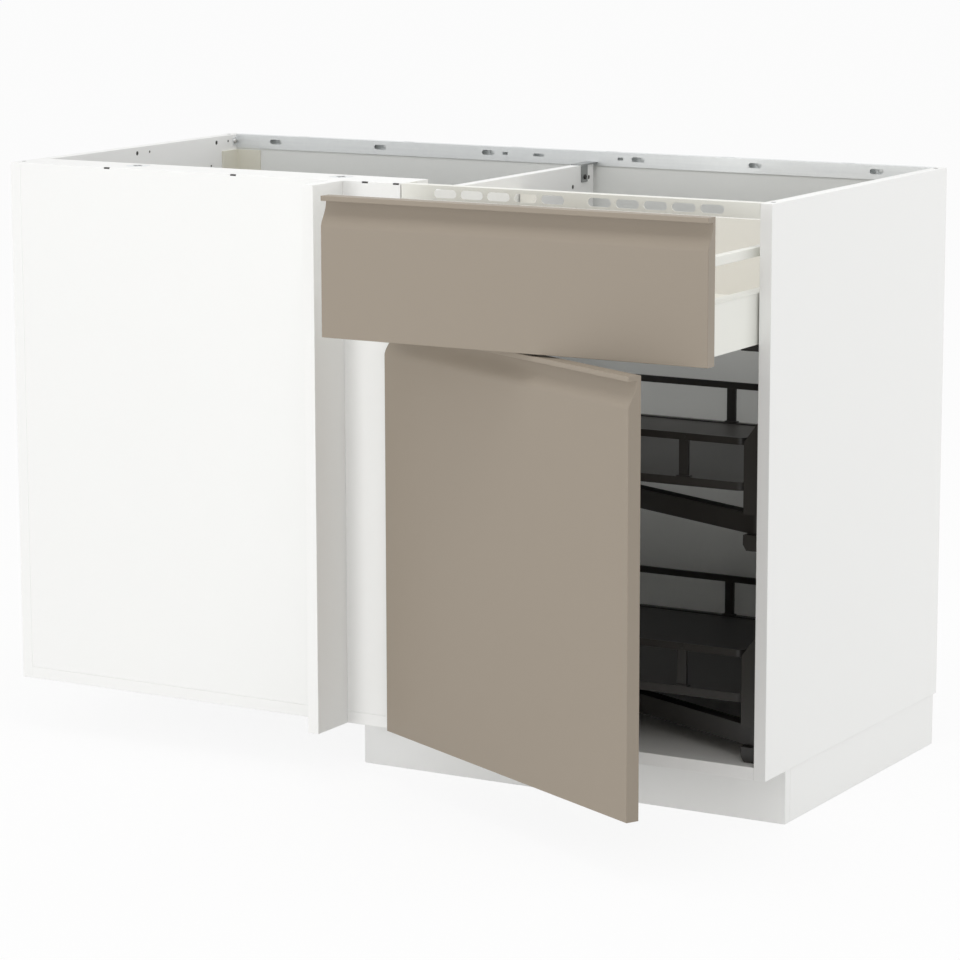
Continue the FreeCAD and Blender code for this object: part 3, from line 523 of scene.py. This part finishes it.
@dataclass(frozen=True)
class Finish:
    """What every finish has: two close tones, a roughness with its spread, and a bump."""

    slot: Slot
    base: Colour
    tint: Colour
    roughness: float
    spread: float
    bump: float
    metallic: float = 0.0
    specular: float = 0.5
    # Share of dust and painted top light on the faces that look up.
    dust_and_top_light: float = 0.0

    def texture(self, sheet: NodeSheet, groups: GroupMaker) -> bpy.types.Node:
        """Places the finish's own group and returns it."""
        raise NotImplementedError

    def place_group(self, sheet: NodeSheet, tree: bpy.types.NodeTree, **values: object) -> bpy.types.Node:
        """Places a group with the finish's common values.

        Args:
            sheet: The material's sheet.
            tree: The group to place.
            values: The group's own inputs.

        Returns:
            The group's node.
        """
        node = sheet.add("Group", node_tree=tree)
        node.inputs["Base"].default_value = (*self.base, 1.0)
        node.inputs["Tint"].default_value = (*self.tint, 1.0)
        node.inputs["Roughness"].default_value = self.roughness
        node.inputs["Spread"].default_value = self.spread
        for name, value in values.items():
            node.inputs[name].default_value = value
        return node

    def material(self, groups: GroupMaker) -> bpy.types.Material:
        """Builds the finish's material.

        Args:
            groups: The shared shader groups.

        Returns:
            The material.
        """
        made = bpy.data.materials.new(self.slot.value)
        made.use_nodes = True
        sheet = NodeSheet(made.node_tree)
        surface = sheet.add("BsdfPrincipled")
        surface.inputs["Metallic"].default_value = self.metallic
        surface.inputs["Specular IOR Level"].default_value = self.specular
        output = sheet.add("OutputMaterial")
        sheet.join(surface.outputs["BSDF"], output.inputs["Surface"])
        texture = self.texture(sheet, groups)
        colour = texture.outputs["Color"]
        # Lightens the faces that look up: partly dust, partly painted top light.
        if self.dust_and_top_light:
            dusty_top_light = sheet.add("Group", node_tree=groups.dust_and_top_light)
            dusty_top_light.inputs["Dust and top light"].default_value = DUST_AND_TOP_LIGHT_TONE
            dusty_top_light.inputs["Amount"].default_value = self.dust_and_top_light
            sheet.join(colour, dusty_top_light.inputs["Color"])
            colour = dusty_top_light.outputs["Color"]
        sheet.join(colour, surface.inputs["Base Color"])
        sheet.join(texture.outputs["Roughness"], surface.inputs["Roughness"])
        relief = sheet.add("Bump")
        relief.inputs["Strength"].default_value = self.bump
        relief.inputs["Distance"].default_value = RELIEF_DEPTH
        sheet.join(texture.outputs["Height"], relief.inputs["Height"])
        sheet.join(relief.outputs["Normal"], surface.inputs["Normal"])
        return made


@dataclass(frozen=True)
class BoardFinish(Finish):
    """A coated board: melamine, lacquer or foil."""

    grain: float = 650.0
    mottle: float = 0.5

    def texture(self, sheet: NodeSheet, groups: GroupMaker) -> bpy.types.Node:
        """Places the board grain."""
        return self.place_group(sheet, groups.grain, Scale=self.grain, Mottle=self.mottle)


@dataclass(frozen=True)
class SheetFinish(Finish):
    """Bare or plated sheet steel."""

    stretch: tuple[float, float, float] = (6.0, 300.0, 300.0)
    flowers: float = 0.0

    def texture(self, sheet: NodeSheet, groups: GroupMaker) -> bpy.types.Node:
        """Places the rolling streaks."""
        return self.place_group(sheet, groups.sheet, Stretch=self.stretch, Flowers=self.flowers)


@dataclass(frozen=True)
class SkinFinish(Finish):
    """A moulded or powder-coated skin."""

    pebble: float = 1400.0

    def texture(self, sheet: NodeSheet, groups: GroupMaker) -> bpy.types.Node:
        """Places the pebbled skin."""
        return self.place_group(sheet, groups.skin, Scale=self.pebble)


FINISHES: tuple[Finish, ...] = (
    BoardFinish(
        Slot.WHITE_BOARD, base=(0.885, 0.885, 0.870), tint=(0.860, 0.862, 0.848),
        roughness=0.42, spread=0.08, bump=0.05,
    ),
    BoardFinish(
        Slot.BACK_BOARD, base=(0.79, 0.80, 0.78), tint=(0.76, 0.77, 0.75),
        roughness=0.55, spread=0.10, bump=0.10, grain=420.0,
    ),
    BoardFinish(
        Slot.DRAWER_BOARD, base=(0.86, 0.845, 0.79), tint=(0.84, 0.82, 0.765),
        roughness=0.45, spread=0.08, bump=0.05,
    ),
    BoardFinish(
        Slot.FRONT_LACQUER, base=(0.320, 0.274, 0.220), tint=(0.312, 0.267, 0.214),
        roughness=0.50, spread=0.05, bump=0.04, specular=0.25, grain=900.0,
    ),
    BoardFinish(
        Slot.TRAY_BOARD, base=(0.036, 0.034, 0.031), tint=(0.030, 0.028, 0.026),
        roughness=0.50, spread=0.10, bump=0.18, dust_and_top_light=0.05, grain=520.0,
    ),
    SheetFinish(
        Slot.ZINC_STEEL, base=(0.82, 0.84, 0.84), tint=(0.74, 0.76, 0.77),
        roughness=0.42, spread=0.10, bump=0.05, metallic=0.7, flowers=0.2,
    ),
    SheetFinish(
        Slot.RUNNER_STEEL, base=(0.36, 0.37, 0.37), tint=(0.28, 0.29, 0.29),
        roughness=0.40, spread=0.16, bump=0.05, metallic=0.9, stretch=(300.0, 6.0, 300.0),
    ),
    SheetFinish(
        Slot.BRIGHT_STEEL, base=(0.72, 0.71, 0.69), tint=(0.62, 0.61, 0.59),
        roughness=0.30, spread=0.14, bump=0.03, metallic=1.0, stretch=(240.0, 240.0, 20.0),
    ),
    SkinFinish(
        Slot.WHITE_STEEL, base=(0.81, 0.81, 0.755), tint=(0.79, 0.79, 0.735),
        roughness=0.40, spread=0.08, bump=0.04,
    ),
    SkinFinish(
        Slot.DARK_STEEL, base=(0.022, 0.021, 0.019), tint=(0.028, 0.026, 0.024),
        roughness=0.42, spread=0.12, bump=0.10, dust_and_top_light=0.03,
    ),
    SkinFinish(
        Slot.DARK_PLASTIC, base=(0.023, 0.022, 0.020), tint=(0.030, 0.029, 0.027),
        roughness=0.50, spread=0.12, bump=0.15, dust_and_top_light=0.03,
    ),
    SkinFinish(
        Slot.CLEAT_PLASTIC, base=(0.76, 0.74, 0.645), tint=(0.72, 0.70, 0.605),
        roughness=0.50, spread=0.10, bump=0.10,
    ),
    SkinFinish(
        Slot.CLEAR_BUMPER, base=(0.78, 0.78, 0.76), tint=(0.72, 0.72, 0.70),
        roughness=0.25, spread=0.08, bump=0.05,
    ),
)


class Palette:
    """The materials of all finishes, by slot."""

    def __init__(self) -> None:
        """Builds every finish's material."""
        groups = GroupMaker()
        self.materials = {finish.slot: finish.material(groups) for finish in FINISHES}

    def dress(self, frame: dict) -> None:
        """Gives each solid of the frame the material of its slot.

        Args:
            frame: The loaded frame.
        """
        for part in frame["record"]["subparts"]:
            solid = frame["nodes"][part["node"]]
            solid.data.materials.clear()
            solid.data.materials.append(self.materials[Slot(part["material_slot"])])
            log.info("dressed %s as %s", part["node"], part["material_slot"])


class Workpiece:
    """A mesh in the making, shaped with mesh operators in its final place."""

    def __init__(self, name: str) -> None:
        """Starts an empty piece."""
        self.name = name
        self.mesh = bmesh.new()

    def move(self, corners: Sequence[bmesh.types.BMVert], turn: Matrix) -> None:
        """Moves some corners by a matrix."""
        bmesh.ops.transform(self.mesh, matrix=turn, verts=list(corners))

    @staticmethod
    def standing(seat: Vector, out: Vector) -> Matrix:
        """Gives the move that takes an upright form from the origin to a seat, looking out."""
        return Matrix.Translation(seat) @ out.to_track_quat("Z", "Y").to_matrix().to_4x4()

    def soften(self, corners: Sequence[bmesh.types.BMVert], width: float) -> None:
        """Bevels every sharp edge between some corners.

        Args:
            corners: The corners of the form.
            width: The bevel's width.
        """
        own = set(corners)
        edges = [edge for edge in self.mesh.edges if own.issuperset(edge.verts)]
        sharp = [edge for edge in edges if edge.calc_face_angle(0.0) > SHARP_ANGLE]
        bmesh.ops.bevel(
            self.mesh, geom=sharp, offset=width, affect="EDGES", segments=BEVEL_STEPS, profile=0.5,
            material=-1, clamp_overlap=True,
        )

    def block(self, low: Vector, high: Vector, soft: float) -> None:
        """Adds a block with soft edges.

        Args:
            low: Its lowest corner.
            high: Its highest corner.
            soft: The width of its soft edges.
        """
        corners = bmesh.ops.create_cube(self.mesh, size=1.0)["verts"]
        size = high - low
        self.move(corners, Matrix.Translation((low + high) / 2) @ Matrix.Diagonal((*size, 1.0)))
        self.soften(corners, soft)

    def disc(self, seat: Vector, out: Vector, button: Button) -> None:
        """Adds a round button that stands on a seat.

        Args:
            seat: The middle of the face that it stands on.
            out: The direction that it stands out in.
            button: Its size.
        """
        corners = bmesh.ops.create_cone(
            self.mesh, cap_ends=True, segments=ROUND_STEPS, radius1=button.radius, radius2=button.radius,
            depth=button.height,
        )["verts"]
        self.move(corners, self.standing(seat + out * (button.height / 2), out))
        self.soften(corners, button.soft)

    def screw(self, seat: Vector, out: Vector, head: ScrewHead) -> None:
        """Adds a pan-head screw with a cross recess.

        Args:
            seat: The middle of the face that the head rests on.
            out: The direction that the head stands out in.
            head: The head's size.
        """
        corners = bmesh.ops.create_grid(
            self.mesh, x_segments=head.cells, y_segments=head.cells, size=1.0
        )["verts"]
        own = set(corners)
        faces = [face for face in self.mesh.faces if own.issuperset(face.verts)]
        cross = [face for face in faces if head.in_cross(face.calc_center_median())]
        rim = [edge for edge in self.mesh.edges if edge.is_boundary and own.issuperset(edge.verts)]
        for corner in corners:
            corner.co = head.on_dome(corner.co)
        sunk = bmesh.ops.extrude_face_region(self.mesh, geom=cross)["geom"]
        floor = [item for item in sunk if isinstance(item, bmesh.types.BMVert)]
        bmesh.ops.translate(self.mesh, verts=floor, vec=(0, 0, -head.recess * head.height))
        bmesh.ops.delete(self.mesh, geom=cross, context="FACES")
        skirt = bmesh.ops.extrude_edge_only(self.mesh, edges=rim)["geom"]
        foot = [item for item in skirt if isinstance(item, bmesh.types.BMVert)]
        for corner in foot:
            corner.co.z = 0.0
        base = [item for item in skirt if isinstance(item, bmesh.types.BMEdge) and item.is_boundary]
        bmesh.ops.contextual_create(self.mesh, geom=base)
        self.move([*corners, *floor, *foot], self.standing(seat, out))

    def done(self, palette: Palette, slot: Slot, body: Body, stands_for: Sequence[str] = ()) -> None:
        """Makes the piece an object that rides on a body.

        Args:
            palette: The materials.
            slot: The piece's finish.
            body: The body that it rides on.
            stands_for: Solids of the frame that it replaces.
        """
        bmesh.ops.recalc_face_normals(self.mesh, faces=self.mesh.faces)
        shape = bpy.data.meshes.new(self.name)
        self.mesh.to_mesh(shape)
        self.mesh.free()
        shape.materials.append(palette.materials[slot])
        shape.polygons.foreach_set("use_smooth", [True] * len(shape.polygons))
        shape.set_sharp_from_angle(angle=SMOOTH_ANGLE)
        piece = bpy.data.objects.new(self.name, shape)
        bpy.context.scene.collection.objects.link(piece)
        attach(piece, body.value)
        if stands_for:
            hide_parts(*stands_for)
        log.info("built %s on %s", self.name, body.value)


@dataclass
class Fittings:
    """What every set of fittings is built with."""

    reader: FrameReader
    palette: Palette

    def build(self) -> None:
        """Builds the set's pieces."""
        raise NotImplementedError


@dataclass
class CarcassFittings(Fittings):
    """Screws and knock-outs of the rails, cap faces with a cross of painted shade, dark discs in the fixing
    holes and the legs' trim.
    """

    wood_screw: ScrewHead = ScrewHead(radius=4.0 * MM, height=2.2 * MM)
    knockout_starts: tuple[float, ...] = mm(78.0, 748.0)
    knockout_pitch: float = 201.0 * MM
    knockout_count: int = 3
    knockout_drop: float = 10.0 * MM
    knockout_inset: float = 0.1 * MM
    knockout: Button = Button(radius=4.1 * MM, height=1.3 * MM, soft=0.1 * MM)
    cap_face: Button = Button(radius=17.2 * MM, height=0.1 * MM, soft=0.03 * MM)
    # Size of the dark cross of painted shade on each cap, which stands for the shade in its cross recess.
    cross_reach: float = 8.0 * MM
    cross_half: float = 2.0 * MM
    cross_low: float = 0.05 * MM
    cross_high: float = 0.17 * MM
    cross_soft: float = 0.02 * MM
    side_holes: tuple[FixingHole, ...] = (
        FixingHole(*mm(305.0, 10.0, 3.5)),
        FixingHole(*mm(339.0, 10.0, 2.2)),
        FixingHole(*mm(528.0, 10.0, 3.5)),
        FixingHole(*mm(562.0, 10.0, 2.2)),
        FixingHole(*mm(512.0, 47.0, 2.2)),
    )
    partition_holes: tuple[FixingHole, ...] = (
        FixingHole(*mm(491.0, 31.0, 3.5)),
        FixingHole(*mm(543.0, 20.0, 3.5)),
    )
    # Size of the dark disc set down each fixing hole, and how far down it sits.
    disc_play: float = 0.1 * MM
    disc_depth: float = 2.0 * MM
    disc_height: float = 1.4 * MM
    disc_soft: float = 0.2 * MM
    leg_plate_thickness: float = 5.0 * MM
    leg_screw_offset: float = 27.0 * MM
    ring_radius: float = 18.5 * MM
    ring_height: float = 9.0 * MM
    ring_rise: float = 2.0 * MM
    ring_teeth: int = 12
    tooth_steps: int = 4
    tooth_reach: float = 1.07

    def build(self) -> None:
        """Builds the screws, the knock-outs, the cap faces with their cross of painted shade, the dark discs
        in the fixing holes and the legs' adjusting rings.
        """
        self.rail_screws()
        self.rail_knockouts()
        self.cap_faces()
        self.hole_dark_discs()
        self.leg_screws()
        self.leg_rings()

    def rail_screws(self) -> None:
        """Puts cross-head screws in place of the plain ones of the rails and the partition's bracket."""
        piece = Workpiece("rail_screw_heads")
        left_side = self.reader.whole("left_side_panel")
        for plain in self.reader.each("rail_screws"):
            out = RIGHT if plain.low.x < left_side.high.x else LEFT
            self.head(piece, plain, out)
        piece.done(self.palette, Slot.BRIGHT_STEEL, Body.CABINET, ("rail_screws",))
        piece = Workpiece("bracket_screw_head")
        self.head(piece, self.reader.whole("bracket_screw"), RIGHT)
        piece.done(self.palette, Slot.DARK_STEEL, Body.CABINET, ("bracket_screw",))

    def head(self, piece: Workpiece, plain: Box, out: Vector) -> None:
        """Adds a cross head where a plain screw has its own.

        Args:
            piece: Collects the heads.
            plain: The plain screw's box.
            out: The direction that its head looks in.
        """
        seat = plain.face(out) - out * self.wood_screw.height
        piece.screw(seat, out, self.wood_screw)

    def rail_knockouts(self) -> None:
        """Closes each hole of the back rail's rear lip with a blank, knocked out for a wall fixing."""
        piece = Workpiece("rail_knockouts")
        rail = self.reader.whole("back_rail")
        y, z = rail.high.y - self.knockout_inset, rail.high.z - self.knockout_drop
        for start in self.knockout_starts:
            for step in range(self.knockout_count):
                x = rail.low.x + start + step * self.knockout_pitch
                piece.disc(Vector((x, y, z)), FRONT, self.knockout)
        piece.done(self.palette, Slot.ZINC_STEEL, Body.CABINET)

    def cap_faces(self) -> None:
        """Puts a plated face on each connector cap, with a dark cross over it that is painted shade,
        standing for the shade in the cap's cross recess.
        """
        faces = Workpiece("cover_cap_faces")
        painted_recess_shade = Workpiece("cover_cap_painted_recess_shade")
        for cap in self.reader.each("cover_caps"):
            top = cap.face(UP)
            faces.disc(top, UP, self.cap_face)
            # The dark cross is painted shade: it stands for the shade in the cap's cross recess.
            for wide, deep in ((self.cross_reach, self.cross_half), (self.cross_half, self.cross_reach)):
                low = top + Vector((-wide, -deep, self.cross_low))
                high = top + Vector((wide, deep, self.cross_high))
                painted_recess_shade.block(low, high, self.cross_soft)
        faces.done(self.palette, Slot.ZINC_STEEL, Body.CABINET)
        painted_recess_shade.done(self.palette, Slot.DARK_PLASTIC, Body.CABINET)

    def hole_dark_discs(self) -> None:
        """Sets a dark disc a little way down each fixing hole of the boards, so that the holes show dark."""
        piece = Workpiece("fixing_hole_dark_discs")
        rows = (
            ("left_side_panel", RIGHT, self.side_holes),
            ("right_side_panel", LEFT, self.side_holes),
            ("drawer_partition", RIGHT, self.partition_holes),
        )
        for node, out, holes in rows:
            board = self.reader.whole(node)
            for hole in holes:
                mouth = Vector((board.face(out).x, board.low.y + hole.behind, board.high.z - hole.below))
                dark_disc = Button(hole.radius - self.disc_play, self.disc_height, self.disc_soft)
                piece.disc(mouth - out * self.disc_depth, out, dark_disc)
        piece.done(self.palette, Slot.DARK_PLASTIC, Body.CABINET)

    def leg_screws(self) -> None:
        """Puts four screws under each leg's plate."""
        piece = Workpiece("leg_plate_screws")
        for plate in self.reader.each("leg_plates"):
            underside = plate.face(UP) - UP * self.leg_plate_thickness
            for side in (-1, 1):
                for end in (-1, 1):
                    seat = underside + Vector((side, end, 0)) * self.leg_screw_offset
                    piece.screw(seat, DOWN, self.wood_screw)
        piece.done(self.palette, Slot.BRIGHT_STEEL, Body.CABINET)

    def leg_rings(self) -> None:
        """Puts a toothed ring round each leg, to turn it by hand."""
        piece = Workpiece("leg_adjusting_rings")
        steps = self.ring_teeth * self.tooth_steps
        for tube in self.reader.each("leg_tubes"):
            corners = bmesh.ops.create_cone(
                piece.mesh, cap_ends=True, segments=steps, radius1=self.ring_radius,
                radius2=self.ring_radius, depth=self.ring_height,
            )["verts"]
            for corner in corners:
                step = round(math.atan2(corner.co.y, corner.co.x) / math.tau * steps)
                if step % self.tooth_steps < self.tooth_steps / 2:
                    corner.co.xy *= self.tooth_reach
            centre = tube.face(DOWN) + UP * (self.ring_rise + self.ring_height / 2)
            piece.move(corners, Matrix.Translation(centre))
        piece.done(self.palette, Slot.DARK_PLASTIC, Body.CABINET)


@dataclass
class HingeFittings(Fittings):
    """Screws of the door's concealed hinges."""

    plate_screw_rise: float = 15.0 * MM
    arm_screw_places: tuple[float, ...] = mm(30.0, 10.0)
    cup_across: float = 13.5 * MM
    cup_behind: float = 13.2 * MM
    cup_screw_rise: float = 22.5 * MM
    plate_screw: ScrewHead = ScrewHead(radius=3.6 * MM, height=1.6 * MM)
    arm_screw: ScrewHead = ScrewHead(radius=3.2 * MM, height=1.0 * MM)
    cup_screw: ScrewHead = ScrewHead(radius=3.2 * MM, height=0.9 * MM)

    def build(self) -> None:
        """Builds the screws of the plates, the arms and the cups."""
        self.plate_screws()
        self.cup_screws()

    def plate_screws(self) -> None:
        """Puts screws in the hinges' plates and arms, which stay on the cabinet."""
        piece = Workpiece("hinge_plate_screws")
        for plate in self.reader.each("hinge_plates"):
            for side in (-1, 1):
                seat = plate.face(RIGHT) + UP * (side * self.plate_screw_rise)
                piece.screw(seat, RIGHT, self.plate_screw)
        for arm in self.reader.each("hinge_arms"):
            for ahead in self.arm_screw_places:
                seat = Vector((arm.high.x, arm.high.y - ahead, arm.middle.z))
                piece.screw(seat, RIGHT, self.arm_screw)
        piece.done(self.palette, Slot.BRIGHT_STEEL, Body.CABINET)

    def cup_screws(self) -> None:
        """Puts screws beside the hinges' cups, which swing with the door."""
        closed, _ = self.reader.joint("door_hinge")["range_deg"]
        turn = Matrix.Rotation(math.radians(closed), 4, "Z")
        piece = Workpiece("hinge_cup_screws")
        for pin in self.reader.each("hinge_pins"):
            for side in (-1, 1):
                offset = Vector((self.cup_across, self.cup_behind, side * self.cup_screw_rise))
                piece.screw(pin.middle + turn @ offset, turn @ BACK, self.cup_screw)
        piece.done(self.palette, Slot.BRIGHT_STEEL, Body.DOOR)


@dataclass
class DrawerFittings(Fittings):
    """Soft caps, sleeves and screws of the drawer, which stands partly out."""

    cap_height: float = 1.6 * MM
    cap_soft: float = 0.6 * MM
    socket_wall: float = 1.3 * MM
    socket_length: float = 22.0 * MM
    socket_soft: float = 1.2 * MM
    bracket_screw_back: float = 22.0 * MM
    bracket_screw_drops: tuple[float, ...] = mm(65.0, 12.0)
    bracket_screw: ScrewHead = ScrewHead(radius=3.8 * MM, height=1.6 * MM)

    def build(self) -> None:
        """Builds the trim of both drawer sides."""
        caps = Workpiece("drawer_side_caps")
        sockets = Workpiece("gallery_rail_sockets")
        screws = Workpiece("front_bracket_screws")
        back = self.reader.whole("drawer_back")
        sleeve = Vector((self.socket_wall, 0.0, self.socket_wall))
        brackets = self.reader.each("front_brackets")
        for end, inward, bracket in zip(("left", "right"), (RIGHT, LEFT), brackets):
            side = self.reader.whole("drawer_side_" + end)
            rail = self.reader.whole("gallery_rail_" + end)
            low = Vector((bracket.low.x, side.low.y, side.high.z))
            high = Vector((bracket.high.x, back.low.y, side.high.z + self.cap_height))
            caps.block(low, high, self.cap_soft)
            start = Vector((rail.low.x, rail.high.y - self.socket_length, rail.low.z))
            sockets.block(start - sleeve, rail.high + sleeve, self.socket_soft)
            y = side.low.y + self.bracket_screw_back
            for drop in self.bracket_screw_drops:
                seat = Vector((rail.face(inward).x, y, bracket.high.z - drop))
                screws.screw(seat, inward, self.bracket_screw)
        caps.done(self.palette, Slot.WHITE_STEEL, Body.DRAWER)
        sockets.done(self.palette, Slot.WHITE_STEEL, Body.DRAWER)
        screws.done(self.palette, Slot.BRIGHT_STEEL, Body.DRAWER)


@dataclass
class TrayFittings(Fittings):
    """Pivot caps, rivets and bracket screws of the corner trays."""

    bracket_screw_rises: tuple[float, ...] = mm(78.0, 132.0)
    bracket_screw: ScrewHead = ScrewHead(radius=4.5 * MM, height=1.8 * MM)
    cap_rise: float = 2.0 * MM
    cap: Button = Button(radius=15.0 * MM, height=1.6 * MM, soft=0.6 * MM)
    rivet: Button = Button(radius=2.6 * MM, height=1.2 * MM, soft=0.4 * MM)

    def build(self) -> None:
        """Builds the trim of both levels."""
        screws = Workpiece("tray_bracket_screws")
        for body in (Body.LOWER_TRAY, Body.UPPER_TRAY):
            bracket = self.reader.whole(body.value + "_bracket")
            foot = Vector((bracket.low.x, bracket.middle.y, bracket.low.z))
            for rise in self.bracket_screw_rises:
                screws.screw(foot + UP * rise, LEFT, self.bracket_screw)
            self.pivot_cap(body)
            self.fence_rivets(body)
        screws.done(self.palette, Slot.BRIGHT_STEEL, Body.CABINET)

    def pivot_cap(self, body: Body) -> None:
        """Puts a cap on a tray's floor, over the pin that the tray turns on.

        Args:
            body: The tray.
        """
        cap = Workpiece(body.value + "_pivot_cap")
        pin = self.reader.whole(body.value + "_pin")
        cap.disc(pin.face(UP) + UP * self.cap_rise, UP, self.cap)
        cap.done(self.palette, Slot.DARK_PLASTIC, body)

    def fence_rivets(self, body: Body) -> None:
        """Puts a rivet through a tray's fence at each post of its front and back runs.

        Args:
            body: The tray.
        """
        rivets = Workpiece(body.value + "_fence_rivets")
        fence = self.reader.whole(body.value + "_fence")
        for post in self.reader.each(body.value + "_posts"):
            for out in (FRONT, BACK):
                if post.face(out).y * out.y > fence.face(out).y * out.y:
                    seat = Vector((post.middle.x, fence.face(out).y, fence.middle.z))
                    rivets.disc(seat, out, self.rivet)
        rivets.done(self.palette, Slot.DARK_STEEL, body)


@dataclass(frozen=True)
class Lamp:
    """A large soft lamp of the studio, in metres and watts."""

    name: str
    place: Place
    aim: Place
    size: float
    power: float


LAMPS: tuple[Lamp, ...] = (
    Lamp("front_left", place=(-1.2, -5.0, 0.7), aim=(0.0, 0.0, 0.45), size=1.4, power=50.0),
    Lamp("front_right", place=(2.6, -4.4, 0.6), aim=(0.4, 0.0, 0.2), size=1.1, power=6.0),
    Lamp("top", place=(0.3, -0.6, 2.6), aim=(0.3, 0.1, 0.0), size=1.0, power=12.0),
    Lamp("right_back", place=(4.2, 3.6, 1.8), aim=(0.64, 0.14, 0.5), size=3.0, power=47.0),
)


@dataclass
class Studio:
    """Camera, floor and light at the photograph's viewing angle.

    Angles are in degrees, the lens and its film in millimetres, and the other lengths in metres.
    """

    eye: Place = (2.7135, -4.5256, 1.379)
    azimuth: float = 30.08
    elevation: float = 10.28
    roll: float = -0.12
    lens: float = 135.15
    film_width: float = 36.0
    sight: float = 200.0
    floor_half: float = 40.0
    floor_drop: float = 0.5 * MM
    floor_tone: Colour = (0.90, 0.90, 0.90)
    floor_glow: float = 0.9
    backdrop: float = 1.0
    sky: float = 0.77

    def build(self) -> None:
        """Sets up the camera, the floor, the sky and the lamps."""
        bpy.context.scene.view_settings.view_transform = "Standard"
        self.camera()
        self.floor()
        self.world()
        for lamp in LAMPS:
            self.hang(lamp)

    def camera(self) -> None:
        """Puts the camera where the photograph was taken from."""
        data = bpy.data.cameras.new("camera")
        data.lens = self.lens
        data.sensor_width = self.film_width
        data.clip_end = self.sight
        camera = bpy.data.objects.new("camera", data)
        turn = Matrix.Rotation(math.radians(self.azimuth), 4, "Z")
        tilt = Matrix.Rotation(math.radians(90 - self.elevation), 4, "X")
        roll = Matrix.Rotation(math.radians(self.roll), 4, "Z")
        camera.matrix_world = Matrix.Translation(self.eye) @ turn @ tilt @ roll
        bpy.context.scene.collection.objects.link(camera)
        bpy.context.scene.camera = camera

    def floor_paint(self) -> bpy.types.Material:
        """Makes the floor's pale paint, which shows the camera a near white and keeps a faint shadow.

        Returns:
            The material.
        """
        made = bpy.data.materials.new("pale_floor")
        made.use_nodes = True
        sheet = NodeSheet(made.node_tree)
        matt = sheet.add("BsdfDiffuse")
        matt.inputs["Color"].default_value = (*self.floor_tone, 1.0)
        glow = sheet.add("Emission")
        glow.inputs["Color"].default_value = WHITE
        glow.inputs["Strength"].default_value = self.backdrop
        share = sheet.calculate("MULTIPLY", sheet.in_sight(), self.floor_glow)
        mix = sheet.add("MixShader")
        sheet.join(share, mix.inputs["Fac"])
        sheet.join(matt.outputs["BSDF"], mix.inputs[1])
        sheet.join(glow.outputs["Emission"], mix.inputs[2])
        output = sheet.add("OutputMaterial")
        sheet.join(mix.outputs["Shader"], output.inputs["Surface"])
        return made

    def floor(self) -> None:
        """Lays a plain floor just under the cabinet."""
        mesh = bmesh.new()
        bmesh.ops.create_grid(mesh, x_segments=1, y_segments=1, size=self.floor_half)
        bmesh.ops.translate(mesh, verts=mesh.verts, vec=(0, 0, -self.floor_drop))
        shape = bpy.data.meshes.new("floor")
        mesh.to_mesh(shape)
        mesh.free()
        shape.materials.append(self.floor_paint())
        floor = bpy.data.objects.new("floor", shape)
        bpy.context.scene.collection.objects.link(floor)

    def world(self) -> None:
        """Lights the room evenly, and shows the camera a white room."""
        world = bpy.data.worlds.new("white_room")
        bpy.context.scene.world = world
        world.use_nodes = True
        sheet = NodeSheet(world.node_tree)
        room = sheet.add("Background")
        room.inputs["Color"].default_value = WHITE
        room.inputs["Strength"].default_value = self.sky
        shown = sheet.add("Background")
        shown.inputs["Color"].default_value = WHITE
        shown.inputs["Strength"].default_value = self.backdrop
        mix = sheet.add("MixShader")
        sheet.join(sheet.in_sight(), mix.inputs["Fac"])
        sheet.join(room.outputs["Background"], mix.inputs[1])
        sheet.join(shown.outputs["Background"], mix.inputs[2])
        output = sheet.add("OutputWorld")
        sheet.join(mix.outputs["Shader"], output.inputs["Surface"])

    @staticmethod
    def hang(lamp: Lamp) -> None:
        """Hangs a lamp, turned to what it lights.

        Args:
            lamp: The lamp.
        """
        data = bpy.data.lights.new(lamp.name, "AREA")
        data.shape = "SQUARE"
        data.size = lamp.size
        data.energy = lamp.power
        light = bpy.data.objects.new(lamp.name, data)
        toward = Vector(lamp.aim) - Vector(lamp.place)
        turn = toward.to_track_quat("-Z", "Y").to_matrix().to_4x4()
        light.matrix_world = Matrix.Translation(lamp.place) @ turn
        bpy.context.scene.collection.objects.link(light)


def main() -> None:
    """Loads the frame, dresses it, adds the fittings and sets up the studio."""
    logging.basicConfig(level=logging.INFO, format="%(name)s: %(message)s")
    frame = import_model()
    palette = Palette()
    palette.dress(frame)
    reader = FrameReader(frame)
    for fittings in (CarcassFittings, HingeFittings, DrawerFittings, TrayFittings):
        fittings(reader, palette).build()
    Studio().build()


if __name__ == "__main__":
    main()
